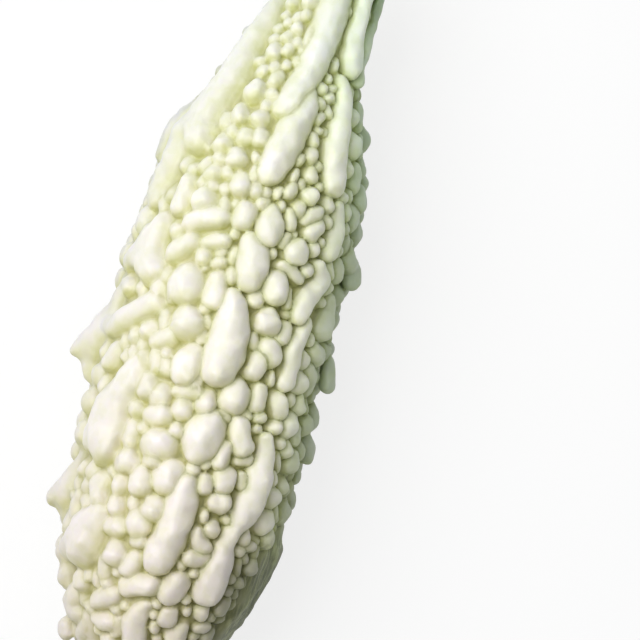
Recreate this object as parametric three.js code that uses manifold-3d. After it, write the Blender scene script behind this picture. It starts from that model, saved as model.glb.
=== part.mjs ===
// Bitter melon of the pale, pearl-skinned kind, as picked, lying on its side.
// Millimetres, +Z up. The fruit runs along X with its stalk end at +X, and rests on Z = 0.
// One grown fruit and one short cut stalk.
import * as THREE from "three";
import Module from "manifold-3d";

// ---- driving dimensions -------------------------------------------------
const AXIS_HEIGHT = 39.4; // height of the fruit's middle line above the surface it lies on
const FRAME_X = -14.955; // shift that puts the whole length evenly about X = 0
const FRAME_Y = 0.534; // shift that puts the whole width evenly about Y = 0
const BEAD_COVER = 2.7; // mean height of the small beads over the bottom of the creases
const CREASE_BLEND = 1.4; // how softly a ridge runs into the skin around it
const RINGS = 74; // sections along the fruit
const SIDES = 72; // corners round each section
const STALK_GAP = 0.3; // clearance between shoulder and stalk
const STALK_LENGTH = 18;
const STALK_RADIUS = 3.3;
const STALK_FLARE = 4.2; // radius where the stalk spreads onto the shoulder
const STALK_CUT = 3.7; // radius of the thickened cut end
const STALK_RIBS = 5;
const STALK_SIDES = 30;
const STALK_RINGS = 14;
const STALK_LEAN = -0.235; // sideways run per millimetre, carrying on the line of the neck

// Sections along the middle line: station, sideways offset, radius at the bottom of the creases.
const SECTIONS = [
  [-134.47, -4.08, 0.00],
  [-132.94, -4.08, 4.08],
  [-130.90, -4.08, 6.41],
  [-127.50, -4.09, 9.48],
  [-122.40, -4.13, 13.50],
  [-115.60, -4.26, 18.36],
  [-108.80, -4.41, 22.61],
  [-102.00, -4.54, 26.18],
  [-95.20, -4.58, 29.24],
  [-90.10, -4.59, 31.11],
  [-85.00, -4.59, 32.47],
  [-78.20, -4.56, 33.66],
  [-68.00, -4.42, 34.68],
  [-51.00, -4.04, 35.36],
  [-34.00, -3.20, 35.53],
  [-17.00, -2.30, 35.36],
  [-0.00, -2.17, 34.85],
  [17.00, -1.93, 34.34],
  [34.00, -1.98, 33.83],
  [42.50, -1.92, 33.15],
  [51.00, -1.96, 32.13],
  [59.50, -2.25, 30.26],
  [68.00, -2.68, 27.71],
  [76.50, -3.11, 24.99],
  [85.00, -3.73, 22.27],
  [95.20, -5.06, 19.55],
  [102.00, -6.16, 17.85],
  [108.80, -7.36, 16.15],
  [119.00, -9.35, 13.17],
  [129.20, -11.45, 10.01],
  [139.40, -13.80, 6.85],
  [144.50, -15.05, 5.10],
  [146.88, -15.56, 4.25],
];

// Ridges and large warts. Each is a run of balls from its stalk end to its nose:
// station, angle from the top (towards +Y), height of the ball's centre over the creases, radius.
const RIDGES = [
  [[77.4, 20.9, 0.5, 3.6], [76, 21, 0.7, 4.1]],
  [[60.9, -72.8, 0.2, 3.3], [58.3, -73.2, -0.1, 4.1], [55.6, -72, 0.4, 3.7]],
  [[46, 7.8, 0.5, 3.6], [44.5, 7.3, 0.7, 4.1]],
  [[37.2, 25.3, 0.4, 3.9], [37.1, 24.9, 0.7, 4.5]],
  [[41.8, 37.9, 0.6, 3.3], [39, 37.9, 0.5, 3.8], [36.1, 38, 0.5, 4], [33.3, 37.8, 0.9, 3.8]],
  [[37.8, 0.9, 0.5, 3.5], [36, 0.8, 0.2, 4.2], [34.2, 0.6, 0.8, 4]],
  [[39.7, -12.9, 0.7, 2.4], [37.2, -13.4, 0.5, 4], [34.7, -14, 0.6, 4.8], [32.2, -14.5, 1.1, 4.6]],
  [[46.6, -55, 1.1, 2.8], [43, -57.3, 1, 3.2], [35.5, -56.3, 1.2, 3.3], [31.7, -55.6, 1.5, 3.2]],
  [[28.3, -31.9, 0.4, 4.4], [28.4, -32, 0.7, 5]],
  [[26.1, -49.5, 1.5, 3], [22.6, -54.6, 1.5, 3.3], [13.8, -45.1, 1.7, 3.5], [9.2, -43.7, 1.9, 3.4]],
  [[36, -77.7, 1.5, 1.7], [33.4, -77, 2.2, 2.8], [28.1, -89.6, 4.1, 3.5], [25.3, -89.6, 4.9, 3.4]],
  [[27.9, 64.3, 0.8, 3.5], [26.4, 64.2, 0.6, 4.3], [24.9, 63, 1.2, 3.9]],
  [[22.6, 25.6, 0.6, 3.1], [21, 28.1, 0.4, 3.6], [19.4, 30.5, 0.5, 3.8], [17.7, 32.9, 0.8, 3.6]],
  [[28.5, 28.1, 0.5, 3.3], [29.9, 24.3, 0.4, 3.7], [32.3, 16.6, 0.6, 3.9], [33.2, 12.6, 0.8, 3.8]],
  [[11.4, 21.5, -0.1, 5.2], [9.4, 21.2, -0.6, 6.4], [7.4, 20.2, 0.2, 5.9]],
  [[12.8, 5, 0.5, 3.3], [10.6, 4.9, 0.4, 3.8], [8.5, 4.8, 0.5, 4], [6.3, 4.6, 0.8, 3.8]],
  [[-19, 55.7, 0.5, 3.5], [-20.6, 57.2, 0.2, 4.3], [-22.2, 57.7, 0.7, 4.1]],
  [[-2, 15, 0, 5], [-3.3, 14.1, 0.3, 5.7]],
  [[-13, 8, 0.4, 4.4], [-15.9, 8.4, 0.1, 5.4], [-18.8, 8.8, 0.7, 5]],
  [[-27.4, 19.1, -0.1, 3.8], [-28.9, 19.1, 0.5, 4]],
  [[17.9, -25.1, 0.5, 4], [16, -25.9, 0.2, 4.9], [14.1, -26.5, 0.8, 4.5]],
  [[4.9, -26.4, 0.2, 4.6], [4.3, -26.3, 0.5, 5.2]],
  [[6.3, -51.2, 1.4, 2.9], [1.6, -47.8, 1.4, 3.2], [-8.1, -46, 1.6, 3.5], [-13.1, -45.5, 1.9, 3.3]],
  [[15.2, -70.8, -1.2, 4.7], [12.5, -73, -1.8, 5.6], [9.8, -71.3, -1.1, 5.7], [7, -68.6, -0, 5.2]],
  [[-7.9, -65.4, -0.2, 3.5], [-10.4, -71.5, -1.5, 4.7], [-13.1, -74, -1.4, 4.5]],
  [[-35.1, 20.6, 0.5, 3.5], [-34.8, 18.5, 0.2, 4.2], [-34.4, 16.2, 0.8, 4]],
  [[-44.2, 17.7, -0.1, 4.6], [-43.8, 15.1, -0.5, 5.6], [-43.4, 12.2, 0.2, 5.2]],
  [[-52.7, 30.9, 0.4, 3.9], [-52, 29.1, 0.7, 4.5]],
  [[-55.3, 20.1, 0.4, 3.8], [-56.7, 19.7, 0.1, 4.6], [-58.1, 19, 0.7, 4.3]],
  [[-50.4, 5.4, 0.4, 4.1], [-52.5, 5.8, 0.1, 5], [-54.6, 6, 0.7, 4.7]],
  [[-60.6, 43.3, 0.5, 3.3], [-63.3, 44.9, 0.3, 4], [-65.9, 43.3, 0.8, 3.8]],
  [[-20.1, -19.1, 0.3, 4.5], [-21.9, -18.8, -0.1, 5.5], [-23.7, -18.2, 0.6, 5.2]],
  [[-30.9, -24.1, 0.7, 3.5], [-33.2, -25.1, 0.5, 4.1], [-35.4, -26.8, 0.6, 4.2], [-37.4, -28.6, 1, 4]],
  [[-47.4, -22.2, 0.7, 3.4], [-49, -22.8, 0.5, 4.2], [-50.6, -23.1, 1, 3.9]],
  [[-38, -68.5, -0.6, 3.8], [-39.6, -68.9, -0.3, 4.3]],
  [[-47.1, -80.5, -1.3, 2.6], [-49.4, -84.7, -1.4, 3], [-51.7, -89.6, 0.4, 3.2], [-53.8, -89.6, 0.8, 3]],
  [[-63.2, 8.7, 0.4, 3.8], [-64.9, 9.2, 0.7, 4.3]],
  [[-68.9, 15.5, -0.3, 4.3], [-70.5, 15.5, 0.4, 4.6]],
  [[-81, 25.4, 0.4, 3.8], [-82.3, 25.2, 0.7, 4.3]],
  [[-57.4, -22.1, 0.6, 3.7], [-57, -24.4, 1, 4.2]],
  [[-100.5, 60.1, 0.8, 3.7], [-103.4, 64.6, 0.2, 5], [-105.7, 62.5, 1, 4.5]],
  [[-91.7, 14.3, 0.5, 3.5], [-90.1, 10.1, 0.3, 4], [-89.2, 5.7, 0.4, 4.1], [-88.8, 1.1, 0.8, 4]],
  [[-95.7, 0, 0.9, 2.1], [-99.9, 4.5, 0.9, 3.7], [-105, 4, 1, 4.4], [-110.2, 1.2, 1.5, 4.2]],
  [[-85.2, -13.3, 0.5, 4.1], [-87.3, -13, 0.1, 5], [-89.3, -11.8, 0.7, 4.7]],
  [[142.8, 62.8, -0.1, 2], [112.2, 62.8, 0, 3.4], [78.6, 47.9, -0.9, 6.5], [55.6, 43.3, 0.4, 5.4]],
  [[76.9, 52.3, 0, 3.4], [64.5, 56.9, -1, 5.4], [46.2, 59.7, -1.4, 6.2], [33.8, 60.2, 0.5, 3.9]],
  [[142.8, -6.7, -0.3, 3], [128.5, -6.7, -0.5, 4.1], [109.7, -12.1, -0.9, 5.6], [91.7, -14.7, 0.4, 4.5]],
  [[93, -14.1, 0.7, 4.2], [83.2, -10.5, 0.5, 4.8], [76, -6.9, 0.6, 5], [73.6, -4.8, 0.8, 4.8]],
  [[80, -18.2, 0.8, 3.1], [73.1, -15.7, 0.5, 4.9], [56.6, -8.4, 1.1, 5], [51.1, -6.4, 1.9, 4.1]],
  [[142.8, -50.4, -0, 1.9], [128.5, -50.4, 0.1, 2.7], [102.6, -48.8, 0.9, 3.8], [94, -53.7, 1.1, 4.2]],
  [[88.1, -44.5, 1.1, 2.6], [81.2, -48.3, 1.6, 3.3], [60.8, -45.6, 1.4, 4.7], [54, -47, 1.6, 4.5]],
  [[-33.2, -41.2, 1.5, 2.6], [-47.1, -42.3, 0.9, 5.2], [-54.4, -41, 0.9, 5.7], [-64.7, -35, 1.8, 3]],
  [[-68.4, -33.6, 1.5, 3], [-75, -32.7, 1.1, 4.7], [-82.4, -32.3, 0.7, 5.9], [-85.9, -32.7, 0.9, 5.7]],
  [[-4.4, -30.2, 0.8, 4.2], [-6.5, -32.3, 0.8, 4.2]],
  [[28.3, -5.5, 1.6, 2.8], [23.9, -9.7, 0.3, 5.5], [20.8, -11, 0.2, 5.9], [16, -10.8, 1.2, 4.2]],
  [[9.3, -5.2, 1.6, 3.2], [1.2, -7.3, 0.9, 5.8], [-5.4, -7.9, 0.7, 6.8], [-15.2, -7.2, 1.8, 5.7]],
  [[-53.9, -4.4, 0.5, 4.3], [-60.7, -4, 0.4, 5.4], [-77.2, -0.6, 0.7, 5.8], [-80, 0.3, 1.1, 5.2]],
  [[-33, -9, -0.1, 5.5], [-37.7, -6.9, -0.5, 7], [-42.9, -5.5, 1, 4.4]],
  [[26.1, 48.3, 0.3, 4.1], [18.9, 50.5, -0.2, 6], [13.5, 48.9, 0.1, 6.4], [10.4, 43.4, 1.4, 5.2]],
  [[20.8, 53, 0.3, 4.5], [14.9, 59.2, 0.6, 4.9], [11.6, 66.8, 1.2, 3.7]],
  [[-21.7, 36.1, -0.1, 4.9], [-29.9, 41.1, -0.4, 6.5], [-46.7, 46.5, 0.4, 7.1], [-50.3, 45.2, 1.3, 5.8]],
  [[-33.9, 50.9, -0.1, 5.2], [-43.5, 56.7, -0.2, 5.6], [-49.2, 58.5, 0.4, 4.9]],
  [[-70.7, 41, 0.3, 4.1], [-75.6, 44.1, -0.2, 6.2], [-81.2, 47.3, -0.3, 7.3], [-84.3, 47.7, 0.4, 6.5]],
  [[-76, 51.2, 0.2, 4.7], [-82.1, 59.4, 0.2, 4.9], [-86.2, 62.2, 0.8, 4.1]],
  [[3, 74, -4.5, 6.5], [-12, 82, -0.8, 7], [-17, 85, 2.9, 5.9], [-22.2, 88, 9.1, 2.6]],
  [[-19, 84, 0.1, 6], [-25.5, 86, 1.9, 5], [-29.5, 85, -0.9, 4.6]],
  [[0.2, 37.2, 0.2, 4.7], [-4, 45.5, 0.2, 5.2], [-8.7, 57.1, 0.1, 5], [-14, 79.5, -0.1, 4.7]],
  [[-57, 76, -3.4, 5.6], [-63, 80, -1.9, 6.2], [-71.5, 87, 4.8, 3.9], [-73.6, 88, 6.7, 2.5]],
  [[-70, 82, 0.7, 4.8], [-76, 85, 0.1, 4], [-79, 84, -1.7, 3.6]],
  [[-71.5, -71, -3.2, 5], [-84, -71, -4.3, 6.9], [-103, -69, -3.7, 5.8], [-110, -68, -3.1, 4.8]],
  [[-62.5, -85, -2.4, 4.6], [-82, -87, -4.2, 7.2], [-93, -86, -3.9, 7], [-112, -84, -2.7, 5]],
  [[75.2, -160.8, 0.5, 3.5], [73.8, -160.6, 0.8, 4]],
  [[46.2, -176.6, 0.4, 3.7], [44.9, -176.8, 0.7, 4.2]],
  [[39.1, -156, 0.5, 3.8], [39, -156.4, 0.7, 4.4]],
  [[42.9, -145.4, 0.5, 3.4], [40.4, -144.3, 0.4, 3.9], [37.8, -142.9, 0.5, 4.1], [35.2, -141.6, 0.8, 3.9]],
  [[38.9, 179.3, 0.3, 3.7], [37.4, -180, 0, 4.5], [35.7, -179.2, 0.6, 4.2]],
  [[40.9, 164.6, 0.7, 2.4], [38.7, 165.2, 0.5, 4.1], [36.4, 165.9, 0.5, 4.8], [34.1, 166.7, 2.4, 4.7]],
  [[46.3, 120.5, 1, 3], [43.1, 119, 0.8, 3.4], [36.4, 123.1, 1.1, 3.5], [32.9, 125.9, 1.3, 3.4]],
  [[30.1, 151.5, 0.2, 4.6], [30.1, 151.4, 0.5, 5.3]],
  [[27.9, 135.2, 1.4, 3.1], [24.6, 131.7, 1.4, 3.5], [16, 142.9, 1.6, 3.7], [11.4, 143.6, 1.8, 3.6]],
  [[30.6, -112, 0.8, 3.4], [29.2, -111.3, 0.6, 4.2], [27.8, -111.8, 1.2, 3.8]],
  [[25.5, -148.1, 0.4, 3.3], [23.9, -145.1, 0.3, 3.9], [22.4, -142.1, 0.3, 4], [20.8, -139.4, 0.7, 3.8]],
  [[30, -148.5, 0.6, 3.3], [31.3, -153.1, 0.5, 3.6], [33.5, -162.2, 0.6, 3.9], [34.4, -166.7, 0.8, 3.7]],
  [[14.5, -150.8, -0.2, 5.4], [12.5, -151.4, -0.7, 6.6], [10.4, -153.1, 0, 6.1]],
  [[15, -167, 0.4, 3.5], [12.8, -167.4, 0.2, 4], [10.6, -168.1, 0.3, 4.2], [8.3, -169.1, 2, 4]],
  [[-18.3, -129, 0.4, 3.6], [-20, -127.6, 0, 4.5], [-21.8, -127.2, 0.5, 4.3]],
  [[-0.1, -162.9, -0, 5.1], [-1.4, -164.5, 0.4, 5.9]],
  [[-12.6, -175.4, 0.4, 4.3], [-15.8, -175.8, -0.7, 5.3], [-19, -175.9, -0.4, 5]],
  [[20.8, 162.6, 0.4, 4.1], [18.9, 162, 0.1, 5], [17.1, 161.5, 0.7, 4.7]],
  [[7.7, 159.3, 0.1, 4.7], [7.1, 159.2, 0.4, 5.3]],
  [[9.1, 135.1, 1.3, 3.1], [4.1, 136.3, 1.2, 3.5], [-6.2, 132.7, 1.5, 3.7], [-11.7, 131.1, 1.7, 3.5]],
  [[18, 117.1, -1.3, 4.8], [15.4, 114.9, -1.8, 5.7], [12.6, 116.2, -1.2, 5.8], [9.8, 118, -0.1, 5.3]],
  [[1.2, 119.2, 0.3, 3.1], [-0.1, 114.2, -0.2, 4.2], [-1.3, 109.4, -0, 4.1]],
  [[-35.7, -162.3, 0.3, 3.7], [-35.3, -164.5, 1.2, 4.5], [-34.9, -166.9, 1.1, 4.2]],
  [[-46.7, -163.9, 0, 4.4], [-46.4, -166.6, 0, 5.4], [-45.9, -169.5, -0, 5.1]],
  [[-54.5, -150.8, 0.3, 4], [-53.8, -152.6, 0.6, 4.5]],
  [[-58.1, -161.8, 0.4, 3.8], [-59.6, -162.2, 0.1, 4.7], [-61, -163.1, 0.7, 4.3]],
  [[-53, -176.2, 0.6, 4.1], [-55.2, -176, -0.3, 5], [-57.4, -175.9, 0.1, 4.7]],
  [[-63.2, -138.9, 0.5, 3.3], [-65.9, -137.2, 0.3, 4.1], [-68.4, -138.6, 0.8, 3.8]],
  [[-19.5, 156.1, 0.2, 4.6], [-21.5, 156.3, -0.2, 5.6], [-23.5, 156.9, 0.5, 5.3]],
  [[-32.3, 152.1, 0.5, 3.7], [-34.9, 151.5, 0.4, 4.2], [-37.2, 150.3, 0.5, 4.4], [-39.5, 148.8, 0.9, 4.2]],
  [[-49, 156.3, 0.6, 3.5], [-50.6, 155.6, 0.3, 4.3], [-52.3, 155.3, 0.9, 4]],
  [[-38.7, 109, -0.5, 3.7], [-40.5, 109, -0.2, 4.2]],
  [[-66.4, -173.4, 1.5, 3.9], [-68.1, -172.8, 1.1, 4.4]],
  [[-71.5, -166, -0.5, 4.6], [-73, -165.6, 0.2, 4.8]],
  [[-83.4, -151.8, 0.3, 3.9], [-84.6, -151.5, 0.6, 4.5]],
  [[-59.4, 155.9, 0.5, 3.9], [-59.1, 153.6, 0.8, 4.4]],
  [[-100.1, -112.9, 0.7, 3.9], [-102.7, -109.1, 0.1, 5.2], [-104.8, -112.1, 0.8, 4.6]],
  [[-92.7, -158.8, 0.3, 3.7], [-91.3, -163.5, 0.1, 4.3], [-90.5, -168.2, 0.2, 4.5], [-90.1, -172.9, 0.6, 4.3]],
  [[-96.4, -172.6, 0.9, 2.1], [-100.1, -168.3, 1, 3.6], [-104.7, -170.3, 1.1, 4.2], [-109.4, -175.7, 1.6, 4.1]],
  [[-86.2, 171.3, 0.2, 4.4], [-88.1, 172.4, -0.1, 5.4], [-89.8, 174.4, 0.5, 5.1]],
  [[142.8, -116.4, -0.1, 1.9], [112.2, -113.3, 0.1, 3.2], [77.3, -133.8, -0.7, 6.2], [55.3, -141.1, 0.5, 5.2]],
  [[75.5, -129.4, 0.1, 3.2], [63.4, -125.9, -0.9, 5.2], [46.9, -124.8, -1.2, 5.9], [35.8, -119.4, 0.6, 3.8]],
  [[142.8, 174.1, -0.5, 3.3], [128.5, -179.4, -0.7, 4.4], [109.4, 170.7, -1.2, 6.1], [90.3, 163.1, 0.1, 4.9]],
  [[91.7, 163.7, 0.5, 4.5], [81.5, 167.6, 0.2, 5.2], [74.1, 171.5, 0.3, 5.4], [71.7, 173.5, 0.5, 5.2]],
  [[78.7, 160, 0.9, 3], [71.7, 162.6, 0.6, 4.8], [56.2, 167.4, 1.2, 4.9], [51.3, 168.8, 1.9, 4]],
  [[142.8, 130.4, -0.1, 2.1], [128.5, 136.8, -0, 2.9], [102.6, 131, 0.8, 4.1], [93.6, 124.2, 0.9, 4.5]],
  [[87.2, 133.3, 1.1, 2.6], [80, 129.9, 1.6, 3.4], [60.1, 131, 1.4, 4.8], [54, 128.4, 1.6, 4.6]],
  [[-34.8, 135.4, 1.4, 2.8], [-49.9, 136.2, 0.7, 5.5], [-57.5, 137.2, 0.7, 6], [-67.8, 142.9, 1.6, 3.1]],
  [[-71.3, 144.9, 1.4, 3.1], [-77.6, 147.6, 0.9, 5], [-84.4, 151.1, 0.5, 6.2], [-87.6, 152.2, 0.7, 6]],
  [[-2, 150.5, 0.7, 4.2], [-4.2, 147.3, 0.7, 4.2]],
  [[29.7, 177.9, 1.5, 2.9], [25.6, 176, 0.1, 5.8], [22.6, 175.9, -0.4, 6.2], [18, 177.1, 1.2, 4.4]],
  [[11.7, -177.9, 2.3, 3.1], [3.4, 176.6, -0.5, 5.7], [-3.7, 172.3, -1.4, 6.6], [-14.5, 168.8, -0.3, 5.6]],
  [[-56.7, 173.8, 0.5, 4.4], [-63.6, 173.9, -0.4, 5.5], [-79.4, -179.5, 0.4, 6], [-82, -177.4, 1.5, 5.4]],
  [[-34.8, 167.6, -0.2, 5.4], [-40, 170.6, -2, 6.9], [-45.6, 172.7, 0.4, 4.3]],
  [[29.1, -127.1, 0.2, 4.3], [22.2, -122.1, -0.4, 6.2], [16.8, -123.2, -0.1, 6.6], [13.8, -129, 1.2, 5.4]],
  [[24, -120.1, 0.1, 4.7], [18.3, -112.8, 0.5, 5], [14.9, -105.4, 1.1, 3.9]],
  [[-21.9, -148.8, -0.3, 5.1], [-31, -142.9, -0.6, 6.9], [-49.3, -135.1, 0.1, 7.5], [-53.1, -136.4, 1.1, 6.1]],
  [[-35.5, -132.3, -0.3, 5.5], [-45.8, -125, -0.4, 5.9], [-51.9, -123.1, 0.2, 5.1]],
  [[-72.2, -140.1, 0.3, 4.1], [-76.8, -135.4, -0.2, 6.1], [-81.9, -129.9, -0.3, 7.2], [-84.8, -128, 0.5, 6.5]],
  [[-77.2, -128.1, 0.3, 4.7], [-82.8, -117.3, 0.3, 4.8], [-86.5, -112.7, 0.8, 4.1]],
  [[-107.5, 2.6, -0.9, 3.3], [-114, 5, -0.8, 3.1], [-120.5, 6.7, -0.7, 2.7], [-126, 4.4, -0.6, 2.1]],
  [[-106, 47, -0.9, 3.3], [-114, 46.4, -0.8, 3.1], [-120.5, 48, -0.7, 2.7], [-126, 45.6, -0.6, 2.1]],
  [[-108.5, 106.5, -0.9, 3.3], [-114, 106.3, -0.8, 3.1], [-120.5, 101, -0.7, 2.7], [-126, 101.4, -0.6, 2.1]],
  [[-108.8, 148.4, -0.9, 3.3], [-114, 144.8, -0.8, 3.1], [-120.5, 143.6, -0.7, 2.7], [-126, 148.9, -0.6, 2.1]],
  [[-106.1, -157.7, -0.9, 3.3], [-114, -161.7, -0.8, 3.1], [-120.5, -159.3, -0.7, 2.7], [-126, -161.2, -0.6, 2.1]],
  [[-108.7, -106.8, -0.9, 3.3], [-114, -109.8, -0.8, 3.1], [-120.5, -109, -0.7, 2.7], [-126, -110.1, -0.6, 2.1]],
  [[-106.1, -55.6, -0.9, 3.3], [-114, -53.4, -0.8, 3.1], [-120.5, -52.7, -0.7, 2.7], [-126, -51.1, -0.6, 2.1]],
  [[15.2, 80.2, -2.1, 5.3], [13.6, 80.2, -1.1, 5.8]],
  [[-94.4, 74.3, -1.6, 5], [-95, 75.7, -0.7, 5.4]],
  [[-64.5, 99.2, -2.1, 5], [-65.9, 99.5, -1.1, 5.4]],
  [[56.9, 87.2, -3.5, 5.2], [56.1, 87.2, -2.5, 5.6]],
  [[29.4, 88.3, -3.2, 4.9], [26.2, 89.7, -2.2, 5.4]],
  [[71.2, 99.1, -3.4, 4.9], [69.3, 97.9, -2.4, 5.3]],
  [[-35.5, 75.6, -2.2, 5.3], [-37.2, 75.6, -1.2, 5.8]],
  [[-41.2, 92.8, -1.9, 5.3], [-44.6, 92.9, -0.9, 5.8]],
  [[-54.3, 97.4, -1.6, 4.9], [-55.1, 97, -0.6, 5.3]],
  [[40.6, 85.9, -3.6, 5.2], [40, 85.8, -2.6, 5.6]],
  [[47.3, 99.8, -3.4, 5], [45.4, 99.9, -2.4, 5.5]],
  [[-86.5, 96.1, -1.7, 4.9], [-87.1, 96.3, -0.8, 5.3]],
  [[7.3, 93.7, -2.4, 5.3], [5.4, 93, -1.4, 5.7]],
  [[-47, 77.6, -2.2, 5.2], [-48.5, 76.8, -1.1, 5.7]],
  [[73.8, 74.7, -3.5, 5.3], [71.1, 75, -2.5, 5.8]],
  [[-96.5, 97.9, -1.9, 5.2], [-97.3, 99.6, -0.9, 5.6]],
  [[-77.1, 99.8, -1.8, 5.1], [-78.1, 99.7, -0.8, 5.5]],
  [[18.2, 96.1, -1.9, 5.1], [17.6, 97.7, -0.9, 5.5]],
  [[-85.4, 78.8, -1.8, 5.2], [-87.2, 77.8, -0.8, 5.7]],
  [[-54.5, -104, -1.6, 4.5], [-55.4, -105.1, -0.7, 4.9]],
  [[-39.2, -104.8, -2.2, 4.7], [-41.5, -103.4, -1.2, 5.1]],
  [[-11.1, -98.7, -1.9, 4.6], [-12.6, -99.7, -1, 5]],
  [[-29.9, -103.4, -1.6, 4.6], [-30.7, -102, -0.8, 5]],
  [[-0.9, -123.4, -0.6, 4.6], [-2.1, -121.6, 0.3, 5]],
  [[-9.8, -139.1, -0.2, 4.7], [-12.1, -137.7, 0.7, 5.1]],
  [[73.3, -97.3, -0.2, 4.6], [72.2, -98.1, 0.7, 5]],
  [[1.1, -100, -0.4, 4.6], [-0.1, -98.7, 0.5, 5]],
  [[59.2, -97.1, -0.3, 4.3], [57.4, -97.8, 0.6, 4.7]],
  [[-87.5, 116.7, -0.1, 4.5], [-88, 114.9, 0.8, 4.8]],
  [[-8.1, 107.2, -0.5, 4.5], [-10, 105.4, 0.4, 4.9]],
  [[42.6, -91.3, -0.2, 4.6], [40.4, -92.6, 0.7, 5]],
  [[-19.2, -113.5, -1.4, 4.5], [-20.1, -112.6, -0.5, 4.9]],
  [[-94, 122.3, 0, 4.6], [-96.8, 121.6, 0.9, 5]],
  [[19.6, -85.9, -1.4, 4.4], [18.8, -85.9, -0.6, 4.8]],
  [[-9.8, -120, -0.6, 4.6], [-12.6, -118.7, 0.3, 5]],
  [[49.1, -102, -0.6, 4.7], [47.4, -103, 0.3, 5.1]],
  [[11.3, -92.9, -1.6, 4.7], [10.2, -91.4, -0.6, 5]],
  [[69.2, -64, -0.1, 4.4], [68.1, -63.9, 0.8, 4.8]],
  [[23.7, -100.1, -1.2, 4.7], [21.3, -99.6, -0.2, 5.1]],
  [[-20.3, 101.6, -0.7, 4.7], [-22, 100.1, 0.3, 5.1]],
  [[-58.8, -56.9, -0.7, 4.4], [-60.1, -55.4, 0.1, 4.8]],
  [[-54.5, -78.1, -2.5, 4.7], [-56.3, -78.2, -1.6, 5.1]],
  [[-25.6, -79.7, -1.7, 4.7], [-26.2, -78.5, -0.8, 5.1]],
  [[-0.5, -138.4, -0.3, 4.7], [-2, -137.8, 0.6, 5.1]],
  [[53.7, -86.1, -0.1, 4.4], [51.2, -84.6, 0.8, 4.8]],
  [[-65.5, -111.1, -0.9, 4.5], [-67.5, -112, -0, 4.9]],
  [[-26.3, 71, -2, 4.5], [-27.3, 69.9, -1.1, 4.9]],
  [[64.3, 116.8, -0.1, 3.9], [63.6, 115.6, 0.7, 4.3]],
  [[48.7, 80, -2.5, 4], [48.3, 81.7, -1.8, 4.4]],
  [[-42.2, -89.3, -1.5, 3.9], [-43.4, -88.6, -0.7, 4.2]],
  [[-10.9, 119.2, -0.1, 4.1], [-12.4, 120.2, 0.7, 4.5]],
  [[-25.4, 117.1, 0.1, 4], [-26.5, 118.4, 0.8, 4.3]],
  [[34.3, 76.6, -2.8, 4.2], [32.5, 76.1, -2, 4.6]],
  [[-62.6, 124.9, -0.5, 3.9], [-64.6, 124.8, 0.2, 4.3]],
  [[36.5, -106.2, 0, 4], [35.8, -104.9, 0.8, 4.3]],
  [[-2.9, 95.4, -1.5, 4], [-4.2, 95.9, -0.8, 4.3]],
  [[-26.1, -56.5, -0, 4], [-27.5, -56.1, 0.8, 4.4]],
  [[-74.8, 114.1, -0.5, 3.9], [-76, 114.5, 0.3, 4.2]],
  [[65.6, -106, 0, 4.2], [63.7, -107.8, 0.9, 4.6]],
  [[-76.8, 72.2, -1.5, 4.1], [-79, 72.1, -0.7, 4.5]],
  [[-11.8, -55.2, -0.2, 3.9], [-12.8, -56, 0.6, 4.2]],
  [[-53.9, 120.4, -0.1, 4.1], [-54.7, 121.7, 0.7, 4.4]],
  [[-50.6, -54.1, -0.3, 3.8], [-51.6, -56.1, 0.5, 4.1]],
];

const wasm = await Module();
wasm.setup();

// ---- curves ---------------------------------------------------------------
// Smooth value of a section column at station x, without overshoot.
function along(x, column, power = 1) {
  const n = SECTIONS.length;
  const X = (i) => SECTIONS[i][0];
  const F = (i) => SECTIONS[i][column] ** power;
  if (x <= X(0)) return F(0);
  if (x >= X(n - 1)) return F(n - 1);
  let i = 0;
  while (x > X(i + 1)) i++;
  const slope = (j) => (F(j + 1) - F(j)) / (X(j + 1) - X(j));
  const tangent = (j) => {
    if (j === 0) return slope(0);
    if (j === n - 1) return slope(n - 2);
    const a = slope(j - 1),
      b = slope(j);
    return a * b > 0 ? (2 * a * b) / (a + b) : 0;
  };
  const h = X(i + 1) - X(i);
  const t = (x - X(i)) / h;
  return (
    (1 + 2 * t) * (1 - t) ** 2 * F(i) +
    t * (1 - t) ** 2 * h * tangent(i) +
    t * t * (3 - 2 * t) * F(i + 1) +
    t * t * (t - 1) * h * tangent(i + 1)
  );
}
const TIP = SECTIONS[0][0];
const SHOULDER = SECTIONS[SECTIONS.length - 1][0];
const creaseRadius = (x) => Math.sqrt(Math.max(along(x, 2, 2), 0));
const offset = (x) => along(x, 1);

// Bead cover thins out over the neck and over the last of the blossom end.
function cover(x) {
  const neck = THREE.MathUtils.smoothstep(SHOULDER - x, 0, 60);
  const end = THREE.MathUtils.smoothstep(x - TIP, 0, 10);
  return BEAD_COVER * (0.15 + 0.85 * neck) * end;
}

// ---- balls of the ridges, spaced closely along each run --------------------
const balls = [];
for (const run of RIDGES) {
  const at = ([x, angle, sink, radius]) => {
    const a = THREE.MathUtils.degToRad(angle);
    const r = creaseRadius(x) + sink;
    return [x, offset(x) + r * Math.sin(a), r * Math.cos(a), radius];
  };
  const nodes = run.map(at);
  balls.push(nodes[0]);
  for (let i = 1; i < nodes.length; i++)
    for (let s = 1; s <= 4; s++)
      balls.push(nodes[i].map((v, c) => nodes[i - 1][c] + ((v - nodes[i - 1][c]) * s) / 4));
}

function smoothMax(a, b, k) {
  const d = Math.max(k - Math.abs(a - b), 0);
  return Math.max(a, b) + (d * d) / (4 * k);
}

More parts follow.
